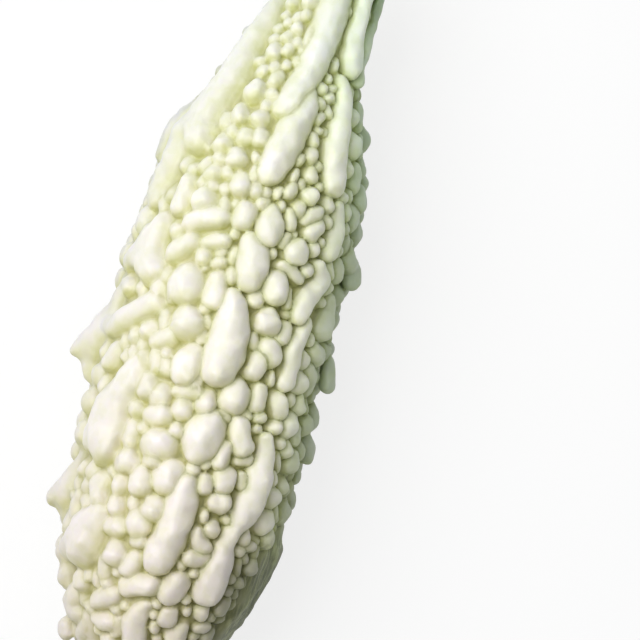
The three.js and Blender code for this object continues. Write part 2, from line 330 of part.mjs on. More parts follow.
// Distance from the middle line out to the skin at station x and angle a.
function skin(x, a) {
  const y0 = offset(x);
  const base = creaseRadius(x) + cover(x);
  const s = Math.sin(a),
    c = Math.cos(a);
  let out = 0;
  for (const [bx, by, bz, br] of balls) {
    const dx = bx - x;
    if (Math.abs(dx) >= br) continue;
    const dy = by - y0;
    const b = dy * s + bz * c;
    if (b <= 0) continue;
    const side = dx * dx + dy * dy + bz * bz - b * b;
    if (side < br * br) out = Math.max(out, b + Math.sqrt(br * br - side));
  }
  return out > 0 ? smoothMax(base, out, CREASE_BLEND) : base;
}

// The same, evened over a small patch so that the facets follow the ridge and not its edge.
function skinMean(x, a) {
  let sum = 0;
  for (const dx of [-1.2, 0, 1.2])
    for (const da of [-0.035, 0, 0.035])
      sum += skin(THREE.MathUtils.clamp(x + dx, TIP, SHOULDER), a + da) - creaseRadius(THREE.MathUtils.clamp(x + dx, TIP, SHOULDER));
  return Math.max(creaseRadius(x) + sum / 9, 0.4);
}

// ---- closed skins from rings of points ------------------------------------
function closedSkin(rings, firstPole, lastPole) {
  const sides = rings[0].length;
  const points = [firstPole, ...rings.flat(), lastPole];
  const index = [];
  const id = (r, s) => 1 + r * sides + (s % sides);
  const last = points.length - 1;
  for (let s = 0; s < sides; s++) {
    index.push(0, id(0, s), id(0, s + 1));
    index.push(last, id(rings.length - 1, s + 1), id(rings.length - 1, s));
    for (let r = 0; r < rings.length - 1; r++) {
      const a = id(r, s),
        b = id(r, s + 1),
        c = id(r + 1, s),
        d = id(r + 1, s + 1);
      // split each quad along its shorter diagonal
      const gap = (i, j) => Math.hypot(points[i][0] - points[j][0], points[i][1] - points[j][1], points[i][2] - points[j][2]);
      if (gap(a, d) < gap(b, c)) index.push(a, c, d, a, d, b);
      else index.push(a, c, b, b, c, d);
    }
  }
  const geometry = new THREE.BufferGeometry();
  geometry.setAttribute("position", new THREE.Float32BufferAttribute(points.flat(), 3));
  geometry.setIndex(index);
  return geometry;
}

function toSolid(geometry) {
  const solid = new wasm.Manifold(
    new wasm.Mesh({
      numProp: 3,
      vertProperties: new Float32Array(geometry.attributes.position.array),
      triVerts: new Uint32Array(geometry.index.array),
    }),
  );
  return solid;
}

function toGeometry(solid) {
  const mesh = solid.getMesh();
  const geometry = new THREE.BufferGeometry();
  const points = [];
  for (let i = 0; i < mesh.vertProperties.length; i += mesh.numProp)
    points.push(mesh.vertProperties[i], mesh.vertProperties[i + 1], mesh.vertProperties[i + 2]);
  geometry.setAttribute("position", new THREE.Float32BufferAttribute(points, 3));
  geometry.setIndex([...mesh.triVerts]);
  geometry.computeVertexNormals();
  return geometry;
}

// ---- fruit -------------------------------------------------------------
// Stations closer together where the profile turns in at the blossom end.
const stations = [];
{
  const fine = [];
  let run = 0;
  for (let i = 0; i <= 1200; i++) {
    const x = TIP + 0.25 + ((SHOULDER - TIP - 0.25) * i) / 1200;
    if (i) run += Math.hypot(x - fine[i - 1][0], creaseRadius(x) - creaseRadius(fine[i - 1][0]));
    fine.push([x, run]);
  }
  let j = 0;
  for (let r = 0; r < RINGS; r++) {
    const want = (run * r) / (RINGS - 1);
    while (j < fine.length - 1 && fine[j][1] < want - 1e-9) j++;
    stations.push(fine[j][0]);
  }
}
const rings = stations.map((x, r) => {
  const ring = [];
  for (let s = 0; s < SIDES; s++) {
    const a = (2 * Math.PI * (s + (r % 2) * 0.5)) / SIDES;
    const out = r === RINGS - 1 ? creaseRadius(x) + 0.2 : skinMean(x, a);
    ring.push([x, offset(x) + out * Math.sin(a), out * Math.cos(a)]);
  }
  return ring;
});
const whole = toSolid(closedSkin(rings, [TIP - 0.8, offset(TIP), 0], [SHOULDER, offset(SHOULDER), 0]));

// The lowest warts are pressed flat where the fruit lies on them.
const below = new THREE.BoxGeometry(400, 200, 40).translate(0, 0, -AXIS_HEIGHT - 20);
const belowIndexed = (() => {
  const corners = new Map();
  const pos = below.attributes.position;
  const points = [];
  const remap = [];
  for (let i = 0; i < pos.count; i++) {
    const key = [pos.getX(i), pos.getY(i), pos.getZ(i)].join();
    if (!corners.has(key)) {
      corners.set(key, points.length / 3);
      points.push(pos.getX(i), pos.getY(i), pos.getZ(i));
    }
    remap.push(corners.get(key));
  }
  const g = new THREE.BufferGeometry();
  g.setAttribute("position", new THREE.Float32BufferAttribute(points, 3));
  g.setIndex([...below.index.array].map((i) => remap[i]));
  return g;
})();
const fruitGeometry = toGeometry(whole.subtract(toSolid(belowIndexed)));

// ---- stalk -------------------------------------------------------------
const stalkRings = [];
for (let r = 0; r < STALK_RINGS; r++) {
  const t = r / (STALK_RINGS - 1);
  const s = STALK_LENGTH * t;
  const flare = (STALK_FLARE - STALK_RADIUS) * Math.exp(-s / 2.2);
  const cut = (STALK_CUT - STALK_RADIUS) * THREE.MathUtils.smoothstep(t, 0.7, 1);
  const radius = STALK_RADIUS + flare + cut;
  const ring = [];
  for (let k = 0; k < STALK_SIDES; k++) {
    const a = (2 * Math.PI * k) / STALK_SIDES;
    const rib = radius * (1 + 0.05 * Math.min(1, s / 3) * Math.cos(STALK_RIBS * a));
    ring.push([
      SHOULDER + STALK_GAP + s,
      offset(SHOULDER) + STALK_LEAN * s - 0.004 * s * s + rib * Math.sin(a),
      0.006 * s * s + rib * Math.cos(a),
    ]);
  }
  stalkRings.push(ring);
}
const endOf = (ring) => [0, 1, 2].map((c) => ring.reduce((sum, p) => sum + p[c], 0) / ring.length);
const stalkGeometry = closedSkin(stalkRings, endOf(stalkRings[0]), endOf(stalkRings[STALK_RINGS - 1]));
stalkGeometry.computeVertexNormals();

// ---- pieces --------------------------------------------------------------
const melon = new THREE.Group();
melon.name = "bitter_melon";
const fruit = new THREE.Mesh(
  fruitGeometry.translate(FRAME_X, FRAME_Y, AXIS_HEIGHT),
  new THREE.MeshStandardMaterial({ color: 0xeceed6, roughness: 0.42, metalness: 0 }),
);
fruit.name = "fruit";
const stalk = new THREE.Mesh(
  stalkGeometry.translate(FRAME_X, FRAME_Y, AXIS_HEIGHT),
  new THREE.MeshStandardMaterial({ color: 0x8d9a5e, roughness: 0.7, metalness: 0 }),
);
stalk.name = "stem_stub";
melon.add(fruit, stalk);

export default melon;
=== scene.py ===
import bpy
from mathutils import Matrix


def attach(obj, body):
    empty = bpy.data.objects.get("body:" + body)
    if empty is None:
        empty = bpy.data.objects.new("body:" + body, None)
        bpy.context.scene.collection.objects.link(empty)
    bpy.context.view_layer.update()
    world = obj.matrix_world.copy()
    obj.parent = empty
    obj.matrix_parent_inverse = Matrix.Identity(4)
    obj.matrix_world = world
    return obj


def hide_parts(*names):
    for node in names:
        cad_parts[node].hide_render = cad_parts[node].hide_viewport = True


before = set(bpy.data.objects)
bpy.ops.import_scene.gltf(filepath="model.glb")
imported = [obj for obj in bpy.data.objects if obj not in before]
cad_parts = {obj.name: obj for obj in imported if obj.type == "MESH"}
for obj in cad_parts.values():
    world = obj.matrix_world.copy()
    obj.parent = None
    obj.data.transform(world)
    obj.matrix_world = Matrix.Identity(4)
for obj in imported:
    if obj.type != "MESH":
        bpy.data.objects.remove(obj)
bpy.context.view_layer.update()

import math
import bpy
import numpy as np
from mathutils import Matrix, Vector
from mathutils.kdtree import KDTree

# ---------------------------------------------------------------- dimensions (mm, fruit's own frame)
FRAME = np.array([-14.955, 0.534, 39.4])   # fruit frame to row frame
VOXEL = 0.5                                # sampling of the fruit's surface
TRIANGLES = 192000                         # faces kept on the fruit
CREASE_ROUND = 0.45                        # rounding at the bottom of the creases between warts
BODY_ROUND = 1.2                           # blend of a wart into the flesh under it
SOFT_CREASE_ROUND = 1.8                    # the same two on the softer side
SOFT_BODY_ROUND = 2.6
GROUP_ROUND = 3.2                          # blend between the lobes of one ridge
STALK_LENGTH = 18.0
STALK_RADIUS = 3.3

# station, sideways offset, radius at the bottom of the creases
SECTIONS = np.array([
    (-134.47, -4.08, 0.00),
    (-132.94, -4.08, 4.08),
    (-130.90, -4.08, 6.41),
    (-127.50, -4.09, 9.48),
    (-122.40, -4.13, 13.50),
    (-115.60, -4.26, 18.36),
    (-108.80, -4.41, 22.61),
    (-102.00, -4.54, 26.18),
    (-95.20, -4.58, 29.24),
    (-90.10, -4.59, 31.11),
    (-85.00, -4.59, 32.47),
    (-78.20, -4.56, 33.66),
    (-68.00, -4.42, 34.68),
    (-51.00, -4.04, 35.36),
    (-34.00, -3.20, 35.53),
    (-17.00, -2.30, 35.36),
    (-0.00, -2.17, 34.85),
    (17.00, -1.93, 34.34),
    (34.00, -1.98, 33.83),
    (42.50, -1.92, 33.15),
    (51.00, -1.96, 32.13),
    (59.50, -2.25, 30.26),
    (68.00, -2.68, 27.71),
    (76.50, -3.11, 24.99),
    (85.00, -3.73, 22.27),
    (95.20, -5.06, 19.55),
    (102.00, -6.16, 17.85),
    (108.80, -7.36, 16.15),
    (119.00, -9.35, 13.17),
    (129.20, -11.45, 10.01),
    (139.40, -13.80, 6.85),
    (144.50, -15.05, 5.10),
    (146.88, -15.56, 4.25),
])

# Warts and ridges: runs of balls from stalk end to nose.
# station, angle from the top towards +Y (degrees), height of the centre over the creases, radius
WARTS = [
    [[(66.5,85,-2.3,5.5),(61.5,86,-2.3,7),(57.5,87,-1.9,7.2),(52.5,87,-2,6.6),(49,87,-1.7,5.2)]],
    [[(142.8,-89.9,0.58,0.85),(136,-89.9,0.87,1.01),(128.5,-89.9,1.16,1.17),(122.3,-89.9,3.12,1.3),(117.1,-89.9,2.48,1.82),(111.7,-85.2,0.96,2.22),(106.1,-75.4,0.94,2.49),(100.7,-70,1.05,2.64),(95.4,-68.1,1.23,2.59),(90.2,-68.6,1.37,2.55)]],
    [[(111.6,16.5,0.25,2.96),(110.5,16.5,0.72,3.12)]],[[(106.7,12.9,0.61,2.09),(105.9,12.9,0.95,2.2)]],[[(105.3,20.6,0.69,1.91),(104.6,20.6,1,2.02)]],
    [[(102.8,27.5,0.76,1.74),(102.1,27.5,1.04,1.83)]],[[(101.4,13.9,0.47,2.43),(100.5,13.9,0.86,2.57)]],
    [[(97.8,19.7,0.54,2.26),(96.9,19.7,0.91,2.38)]],[[(92.2,24.9,0.74,2.51),(91.2,23.6,0.59,3.08),(90.1,21.9,0.98,2.87)]],
    [[(93.3,11.5,0.54,2.26),(92.4,11.5,0.91,2.38)]],[[(84.2,22.6,0.54,2.26),(83.4,22.6,0.91,2.38)]],[[(88.1,6.6,0.81,1.57),(87.5,6.6,1.06,1.65)]],
    [[(83.7,8.2,0.86,2.04),(82.3,8.9,0.76,2.5),(80.8,9.5,1.09,2.33)]],[[(90.5,-1.3,0.69,1.91),(89.8,-1.3,1,2.01)]],
    [[(94.4,-0.6,0.8,1.56),(93.9,-0.6,1.06,1.64)]],[[(102.9,-2.1,0.92,1.86),(100,-2.6,0.84,2.28),(97.1,-2.9,1.14,2.13)]],
    [[(77.4,20.9,0.46,3.61),(76,21,0.73,4.13)]],[[(73.3,8.6,0.69,1.91),(72.6,8.6,1,2.02)]],
    [[(112.8,-27,0.81,1.34),(111.4,-27.4,0.99,1.64),(110,-28.4,0.92,1.53)]],[[(94.3,-34.8,0.71,1.19),(92.8,-34.8,0.87,1.45),(91.2,-35.4,0.81,1.35)]],
    [[(87.9,-30.8,0.77,1.48),(87.4,-30.8,1.01,1.56)]],[[(78.9,-26.6,0.61,2.32),(78.1,-26.6,0.98,2.44)]],
    [[(81.6,-35.2,0.77,1.96),(80.9,-35.2,1.08,2.07)]],[[(73.9,-30.4,1.01,1.78),(72.9,-27.9,1.23,2.04)]],
    [[(67.2,-27.1,1,1.79),(66.2,-27.5,0.94,2.19),(65.2,-27.7,1.22,2.04)]],[[(70,-35.8,0.67,1.3),(69.5,-35.8,0.88,1.37)]],
    [[(61.2,-28.5,0.52,2.62),(60.2,-28.5,0.94,2.76)]],[[(58.8,-20.9,0.78,1.83),(58.1,-20.9,1.08,1.93)]],
    [[(55.1,-30.9,0.54,2.6),(54.2,-30.9,0.96,2.74)]],[[(54.4,-21.1,0.9,1.5),(52.9,-20.7,1.01,1.85),(51.4,-20.5,1.03,1.72)]],
    [[(48.2,-32.9,0.78,3.06),(47.9,-32.5,1.07,3.5)]],[[(49.1,-21.3,0.92,2.1),(47.8,-20.8,0.82,2.58),(46.5,-20.2,1.15,2.41)]],
    [[(46.6,-14,0.98,1.68),(45.8,-13.7,0.93,2.07),(44.9,-13.5,1.16,1.93)]],[[(81.7,-79.2,0.37,2.65),(78.9,-78.8,0.14,3.25),(76,-76.3,0.53,3.03)]],
    [[(71.4,-81.6,0.45,2.45),(69.3,-80.7,0.25,3),(67.1,-79.1,0.53,2.8)]],[[(60.9,-72.8,0.18,3.31),(58.3,-73.2,-0.14,4.08),(55.6,-72,0.39,3.73)]],
    [[(69,24.4,0.66,2.83),(67.8,23.5,0.48,3.47),(66.5,22.4,0.91,3.23)]],[[(65.7,32.3,0.94,1.73),(64.3,31.1,0.87,2.12),(62.9,29.9,1.16,1.97)]],
    [[(68.7,9.7,0.17,3.13),(67.6,9.7,0.68,3.3)]],[[(61.2,13.8,0.25,2.96),(60.2,13.8,0.72,3.12)]],[[(62.3,5.1,0.1,3.3),(61.1,5.1,0.63,3.48)]],
    [[(57.5,26.4,0.58,3.14),(56.9,25.7,0.84,3.59)]],[[(60.6,35.8,0.63,1.22),(60.2,35.8,0.82,1.28)]],[[(55,34.1,0.72,1.39),(54.5,34.1,0.94,1.47)]],
    [[(53.6,14.5,0.54,3.3),(52.8,14,0.8,3.77)]],[[(55.2,3.7,0.94,1.73),(54.9,3.4,1.16,1.97)]],
    [[(51.4,1.9,0.94,1.73),(50,1.4,0.87,2.12),(48.7,1,1.16,1.97)]],[[(50.1,30.7,0.9,1.88),(49,31.5,0.82,2.31),(48,31.9,1.12,2.15)]],
    [[(47.3,24.4,0.32,2.78),(46.3,24.4,0.77,2.93)]],[[(43.4,28.6,0.76,1.74),(42.7,28.6,1.04,1.83)]],[[(46,7.8,0.46,3.61),(44.5,7.3,0.73,4.13)]],
    [[(45.2,-1.8,0.47,2.43),(44.3,-1.8,0.86,2.57)]],[[(45.2,-7.3,0.78,1.73),(44.6,-7.3,1.06,1.82)]],
    [[(42.9,15.2,0.94,1.57),(42.2,14.8,0.93,1.93),(41.6,14.4,1.08,1.8)]],[[(38,13.2,0.9,1.88),(37.1,12.6,1.12,2.15)]],
    [[(37.2,25.3,0.38,3.93),(37.1,24.9,0.66,4.49)]],[[(39.4,6.9,0.72,1.39),(38.9,6.9,0.94,1.47)]],[[(47.6,44.1,0.54,2.26),(46.8,44.1,0.91,2.38)]],
    [[(41.8,37.9,0.6,3.3),(39,37.9,0.45,3.8),(36.1,38,0.54,3.95),(33.3,37.8,0.87,3.77)]],
    [[(34.2,54.2,0.85,1.41),(32.7,52.2,0.99,1.73),(31.3,51.2,0.97,1.62)]],[[(37.8,0.9,0.5,3.46),(36,0.8,0.25,4.24),(34.2,0.6,0.77,3.95)]],
    [[(39.7,-12.9,0.68,2.38),(37.2,-13.4,0.53,4.04),(34.7,-14,0.57,4.79),(32.2,-14.5,1.1,4.63)]],[[(42,-18.4,0.84,1.67),(41.4,-18.4,1.11,1.76)]],
    [[(40.5,-23.6,1,1.79),(38.6,-24.4,0.94,2.19),(36.7,-25,1.22,2.03)]],[[(40.2,-32.5,0.95,2.19),(41.9,-36.7,0.86,2.68),(43.6,-41,1.21,2.5)]],
    [[(39.1,-42.2,0.81,2.91),(37.5,-40.2,0.64,3.57),(35.9,-38.1,1.1,3.33)]],
    [[(46.6,-55,1.13,2.77),(43,-57.3,1.01,3.16),(39.3,-57.6,0.93,3.5),(35.5,-56.3,1.24,3.3),(31.7,-55.6,1.48,3.16)]],
    [[(52,-65.6,0.74,2.1),(51.2,-65.6,1.08,2.21)]],[[(46.7,-76,0.04,3.47),(45.3,-77.7,-0.05,3.98),(43.8,-77.5,0.19,3.96)]],
    [[(38,-73.3,0.45,2.55),(36.3,-73.8,0.23,3.15),(34.7,-73.4,0.62,2.92)]],[[(29.6,2.9,0.76,1.74),(29,2.9,1.04,1.83)]],
    [[(33,-25.2,0.89,1.48),(31.4,-23.9,1.03,1.82),(29.9,-22.9,1.02,1.71)]],[[(34.5,-28.5,0.67,1.3),(34,-28.5,0.88,1.37)]],
    [[(26.6,-19.4,0.85,1.67),(26,-19.4,1.12,1.76)]],[[(28.3,-31.9,0.4,4.37),(28.4,-32,0.73,4.99)]],
    [[(24.5,0.8,0.75,1.26),(22.1,0.5,0.92,1.54),(19.8,0.3,0.86,1.44)]],
    [[(23.4,-25.7,0.98,1.92),(22.7,-30.2,0.96,2.19),(21.7,-34.6,1.05,2.27),(20.4,-38.9,1.26,2.16)]],
    [[(26.1,-49.5,1.5,2.99),(22.6,-54.6,1.47,3.32),(18,-50.8,1.44,3.66),(13.8,-45.1,1.7,3.54),(9.2,-43.7,1.95,3.41)]],
    [[(28.5,-69.4,0.32,3.14),(26.9,-71.5,-0.27,3.98),(25.3,-72.3,-0.17,3.75)]],
    [[(36,-77.7,1.54,1.73),(33.4,-77,2.16,2.77),(30.7,-80.3,2.49,3.32),(28.1,-89.6,4.09,3.49),(25.3,-89.6,4.91,3.4)]],
    [[(27.9,64.3,0.78,3.48),(26.4,64.2,0.58,4.26),(24.9,63,1.19,3.89)]],[[(4.3,65,0.62,2.98),(3.1,59.6,0.87,3.41)]],
    [[(22.6,25.6,0.58,3.14),(21,28.1,0.44,3.62),(19.4,30.5,0.52,3.76),(17.7,32.9,0.84,3.59)]],
    [[(28.5,28.1,0.54,3.3),(29.9,24.3,0.42,3.67),(31.4,20.7,0.31,4.04),(32.3,16.6,0.55,3.91),(33.2,12.6,0.8,3.77)]],
    [[(24.1,16.4,0.78,2.36),(25.1,12.1,0.65,2.89),(26.1,7.7,1.01,2.69)]],[[(20.1,16.1,0.39,2.61),(19.1,16.1,0.82,2.75)]],
    [[(21.9,9.2,0.85,1.41),(22.3,7.7,0.99,1.73),(22.6,6.2,0.97,1.62)]],[[(18.1,8.3,0.9,1.88),(18.5,7,0.82,2.31),(18.8,5.7,1.12,2.15)]],
    [[(16.2,13.5,0.63,1.22),(15.7,13.5,0.82,1.28)]],[[(16.4,-0.7,0.94,1.73),(15.5,-1.1,0.87,2.12),(14.5,-1.5,1.16,1.97)]],
    [[(11.5,34.4,0.94,1.73),(10.5,33.7,0.87,2.12),(9.6,32.9,1.16,1.97)]],[[(6.3,35.6,0.32,2.78),(5.3,35.6,0.77,2.93)]],
    [[(11.4,21.5,-0.12,5.18),(9.4,21.2,-0.58,6.36),(7.4,20.2,0.16,5.92)]],[[(4.6,27.6,0.85,1.41),(3.8,26.9,0.99,1.73),(3,26.7,0.97,1.62)]],
    [[(12.8,5,0.54,3.3),(10.6,4.9,0.38,3.8),(8.5,4.8,0.47,3.95),(6.3,4.6,0.8,3.77)]],
    [[(-19,55.7,0.5,3.46),(-20.6,57.2,0.16,4.34),(-22.2,57.7,0.65,4.08)]],[[(-16.1,41.3,0.9,1.88),(-16.8,40.8,0.82,2.31),(-17.6,40,1.12,2.15)]],
    [[(-17.4,34.2,0.82,2.2),(-18.6,33.5,0.7,2.7),(-19.9,32.6,1.05,2.51)]],[[(-15.7,26.7,0.86,2.04),(-17.6,25.8,0.76,2.5),(-19.5,24.8,1.09,2.33)]],
    [[(-18.1,19.8,0.82,2.2),(-19.3,19,1.05,2.51)]],[[(-11.2,28.6,0.66,2.83),(-10,25.3,0.48,3.47),(-8.8,21.8,0.91,3.23)]],
    [[(-2.6,27.8,0.86,2.04),(-4,27.2,0.76,2.5),(-5.5,26.4,1.09,2.33)]],[[(-2,15,0.04,5.03),(-3.3,14.1,0.34,5.74)]],
    [[(-13,8,0.38,4.4),(-15.9,8.4,0.05,5.39),(-18.8,8.8,0.7,5.03)]],[[(-4.8,5.7,0.94,1.57),(-5.9,5.4,0.93,1.93),(-7.1,5.1,1.08,1.8)]],
    [[(3.4,7.7,0.69,1.91),(2.7,7.7,1,2.02)]],[[(-0.3,5.3,0.75,1.26),(-1.1,4.9,0.92,1.54),(-1.9,4.6,0.86,1.44)]],
    [[(-24.5,27.8,0.58,3.14),(-26.2,27.2,0.36,3.85),(-27.9,26.3,0.84,3.59)]],[[(-30,60.5,0.39,2.61),(-31,60.5,0.82,2.75)]],
    [[(-27.4,19.1,-0.12,3.83),(-28.9,19.1,0.5,4.03)]],[[(-25.6,10.8,0.82,2.2),(-25,7.4,0.74,2.53),(-24.4,4.1,0.82,2.64),(-23.8,0.8,1.05,2.51)]],
    [[(-20.1,2.5,0.82,2.2),(-21.1,2.3,0.7,2.7),(-22,2.1,1.05,2.51)]],[[(10.9,-16.8,0.37,2.85),(9.9,-16.8,0.83,3.01)]],
    [[(17.9,-25.1,0.48,4),(16,-25.9,0.21,4.89),(14.1,-26.5,0.82,4.55)]],[[(15.7,-35.5,0.79,1.31),(13.7,-35.8,0.96,1.61),(11.8,-36.5,0.9,1.5)]],
    [[(4.9,-26.4,0.2,4.57),(4.3,-26.3,0.51,5.22)]],[[(-1.3,-20.7,0.9,1.5),(-2.7,-21.1,1.02,1.83),(-4.1,-21.8,1.02,1.71)]],
    [[(4.1,-38.2,0.92,2.33),(2.1,-37,0.81,2.86),(0.1,-35.6,1.19,2.66)]],[[(-11.7,-35.8,0.79,1.31),(-13,-36.1,0.96,1.61),(-14.3,-36.9,0.9,1.5)]],
    [[(6.3,-51.2,1.42,2.91),(1.6,-47.8,1.39,3.24),(-3.1,-45.1,1.36,3.57),(-8.1,-46,1.61,3.45),(-13.1,-45.5,1.86,3.33)]],
    [[(9.4,-37.2,0.61,1.02),(8.6,-37.3,0.75,1.25),(7.8,-37.8,0.7,1.17)]],
    [[(15.2,-70.8,-1.22,4.72),(12.5,-73,-1.76,5.62),(9.8,-71.3,-1.14,5.7),(7,-68.6,0,5.21)]],
    [[(-0.6,-63.7,0.42,3.03),(-1.7,-68,-0.1,3.99),(-2.9,-72.1,0.11,3.96)]],
    [[(-7.9,-65.4,-0.16,3.46),(-10.4,-71.5,-1.53,4.68),(-13.1,-74,-1.45,4.53)]],
    [[(-0.4,-89.8,2.61,1.39),(-3.1,-89.6,3.49,2.22),(-5.9,-89.6,4.37,2.66),(-8.7,-89.6,4.86,2.79),(-11.6,-89.6,5.29,2.72)]],
    [[(-35,31.1,0.74,2.51),(-35,30.7,0.98,2.87)]],[[(-35.1,20.6,0.5,3.46),(-34.8,18.5,0.25,4.24),(-34.4,16.2,0.77,3.95)]],
    [[(-29.5,5.9,0.03,3.48),(-30.8,5.9,0.59,3.67)]],[[(-37.2,6.8,0.74,2.51),(-37.8,6.5,0.98,2.87)]],
    [[(-40.4,30.7,0.78,2.36),(-42.9,30.9,0.65,2.89),(-45.4,30.9,1.01,2.69)]],
    [[(-44.2,17.7,-0.07,4.56),(-43.8,15.1,-0.49,5.59),(-43.4,12.2,0.16,5.21)]],[[(-52.7,30.9,0.38,3.93),(-52,29.1,0.66,4.49)]],
    [[(-49.2,17.2,0.66,2.83),(-48.9,15.4,0.91,3.23)]],[[(-55.3,20.1,0.42,3.77),(-56.7,19.7,0.14,4.62),(-58.1,19,0.7,4.31)]],
    [[(-50.4,5.4,0.4,4.08),(-52.5,5.8,0.09,5.01),(-54.6,6,0.7,4.67)]],[[(-48.1,-4.9,0.77,2.49),(-48.7,-5.1,1.01,2.84)]],
    [[(-60.6,43.3,0.54,3.3),(-63.3,44.9,0.31,4.04),(-65.9,43.3,0.8,3.77)]],[[(-59.4,31.7,0.32,2.78),(-60.4,31.7,0.77,2.93)]],
    [[(-58.7,61.6,0.39,2.61),(-59.7,61.6,0.82,2.75)]],[[(-25.3,-4.5,0.55,3.29),(-26.9,-4.8,0.82,3.75)]],
    [[(-20.1,-19.1,0.27,4.5),(-21.9,-18.8,-0.08,5.52),(-23.7,-18.2,0.57,5.15)]],
    [[(-29.5,-12.8,0.88,2.14),(-29.7,-14,0.79,2.61),(-29.9,-15.2,1.14,2.42)]],
    [[(-17.9,-31.5,0.84,2.77),(-20.1,-31.8,0.69,3.39),(-22.3,-31.7,1.12,3.16)]],
    [[(-27,-32.8,1.01,1.89),(-26.8,-34.3,0.94,2.32),(-26.6,-35.5,1.26,2.16)]],[[(-31,-33.8,0.87,1.46),(-30.8,-34.6,1.07,1.79),(-30.6,-35.9,1,1.66)]],
    [[(-19,-43.8,0.78,3.06),(-20.8,-45.2,0.6,3.75),(-22.5,-46.1,1.08,3.5)]],[[(-27.4,-46.4,0.87,2.62),(-28.4,-46,1.14,3)]],
    [[(-18.6,-62.2,0.16,3.2),(-20.5,-63,0.38,3.66)]],[[(-20.5,-89.8,0.64,3.06),(-22.8,-89.8,1.21,3.75),(-25,-89.8,1.77,3.5)]],
    [[(-28.9,-67.8,-0.83,3.24),(-30.8,-67.9,-0.61,3.67)]],[[(-32.5,-53.4,0.98,2.04),(-33.1,-52.9,1.23,2.33)]],
    [[(-30.9,-24.1,0.65,3.54),(-33.2,-25.1,0.51,4.06),(-35.4,-26.8,0.64,4.2),(-37.4,-28.6,1.01,4)]],
    [[(-42.1,-27.6,1.04,1.75),(-41.7,-30.6,0.98,2.14),(-41.3,-33.6,1.2,2)]],[[(-39,-18.8,0.8,2.69),(-41.5,-18.6,0.64,3.3),(-43.9,-18.2,1.06,3.07)]],
    [[(-45.5,-11.4,0.76,1.86),(-46.2,-11.4,1.05,1.96)]],[[(-50.8,-12.9,0.83,2.43),(-52.1,-13.2,0.7,2.97),(-53.3,-13.4,1.08,2.77)]],
    [[(-47.4,-22.2,0.67,3.4),(-49,-22.8,0.47,4.16),(-50.6,-23.1,0.99,3.87)]],[[(-46.5,-32.4,1.04,1.75),(-48,-33,0.98,2.14),(-49.4,-33.4,1.2,2)]],
    [[(-37,-53.6,0.7,1.17),(-39.8,-54.7,0.86,1.43),(-42.5,-56.6,0.72,1.35)]],[[(-38,-68.5,-0.56,3.79),(-39.6,-68.9,-0.26,4.33)]],
    [[(-31.1,-89.8,1.68,2.85),(-33.5,-89.6,2.19,3.5),(-36,-89.6,2.71,3.26)]],[[(-47.1,-66,-0.22,2.91),(-47.7,-65.1,0.16,3.33)]],
    [[(-47.1,-80.5,-1.27,2.65),(-49.4,-84.7,-1.43,3.05),(-51.7,-89.6,0.37,3.18),(-53.8,-89.6,0.8,3.03)]],
    [[(-68.7,60.7,0.59,2.58),(-71.3,62.3,0.33,3.25),(-73.9,63.2,0.68,3.08)]],[[(-65.2,31.4,0.7,2.67),(-66.6,30.6,0.53,3.27),(-67.9,29.5,0.94,3.05)]],
    [[(-64.2,20.9,0.9,1.88),(-64.8,20.4,1.12,2.15)]],[[(-63.2,8.7,0.42,3.77),(-64.9,9.2,0.7,4.31)]],
    [[(-68.9,15.5,-0.34,4.35),(-70.5,15.5,0.36,4.58)]],[[(-73.9,30.2,0.62,2.98),(-73.6,25.9,0.87,3.41)]],
    [[(-76,14.7,0.78,2.36),(-75.7,12.4,1.01,2.69)]],[[(-81,25.4,0.42,3.77),(-82.3,25.2,0.7,4.31)]],
    [[(-85.7,31.3,0.86,2.04),(-87.5,30.9,0.76,2.5),(-89.3,30.3,1.09,2.33)]],[[(-82,13.5,0.62,2.98),(-83.7,14.6,0.42,3.66),(-85.3,15.6,0.87,3.41)]],
    [[(-87.5,22,0.85,1.41),(-88.2,21.7,0.97,1.62)]],[[(-57.4,-22.1,0.62,3.69),(-57,-24.4,0.96,4.18)]],
    [[(-61.7,-16.8,0.9,1.5),(-62.5,-17,1.02,1.84),(-63.3,-17.4,1.03,1.71)]],[[(-62,-30.2,0.96,1.6),(-61.8,-30.7,1.1,1.83)]],
    [[(-65.1,-23.1,0.84,2.65),(-66,-23.3,1.12,3.02)]],[[(-68.3,-16,0.82,2.55),(-70.7,-17.9,0.69,3.11),(-72,-21.3,1.12,2.87)]],
    [[(-75.5,-22.4,0.8,2.8),(-76.5,-19.7,0.62,3.46),(-76.7,-16.3,1.03,3.26)]],[[(-81.2,-20.5,0.98,1.63),(-81.5,-20.5,1.12,1.87)]],
    [[(-79.3,-12.8,0.83,1.68),(-80,-12.8,1.1,1.77)]],[[(-55.4,-65,-0.16,2.06),(-56.9,-66.4,-0.49,2.59),(-58.4,-67.8,-0.44,2.47)]],
    [[(-64.7,-64.1,-0.36,3.39),(-65.9,-64.1,0.3,3.57)]],[[(-69.3,-47.4,0.98,2.04),(-69.3,-50.1,1.23,2.33)]],
    [[(-75,-56.4,0.87,2.62),(-76.3,-56.7,1.14,3)]],[[(-74.2,-45,0.7,1.17),(-76.3,-46.1,0.86,1.43),(-78.5,-47.7,0.8,1.33)]],
    [[(-94,51.8,0.62,2.98),(-95.6,49,0.87,3.41)]],[[(-100.5,60.1,0.78,3.74),(-103.4,64.6,0.22,4.96),(-105.7,62.5,0.97,4.47)]],
    [[(-97.6,48,0.75,1.26),(-99.9,47.7,0.92,1.54),(-102.3,48.7,0.86,1.44)]],[[(-91.2,36.5,0.85,1.41),(-92.5,36.1,0.99,1.73),(-93.9,36.2,0.97,1.62)]],
    [[(-91.6,28,0.54,2.26),(-92.4,28,0.91,2.38)]],[[(-99.2,33.7,0.62,2.98),(-97.6,28.6,0.42,3.66),(-96.2,23.4,0.87,3.41)]],
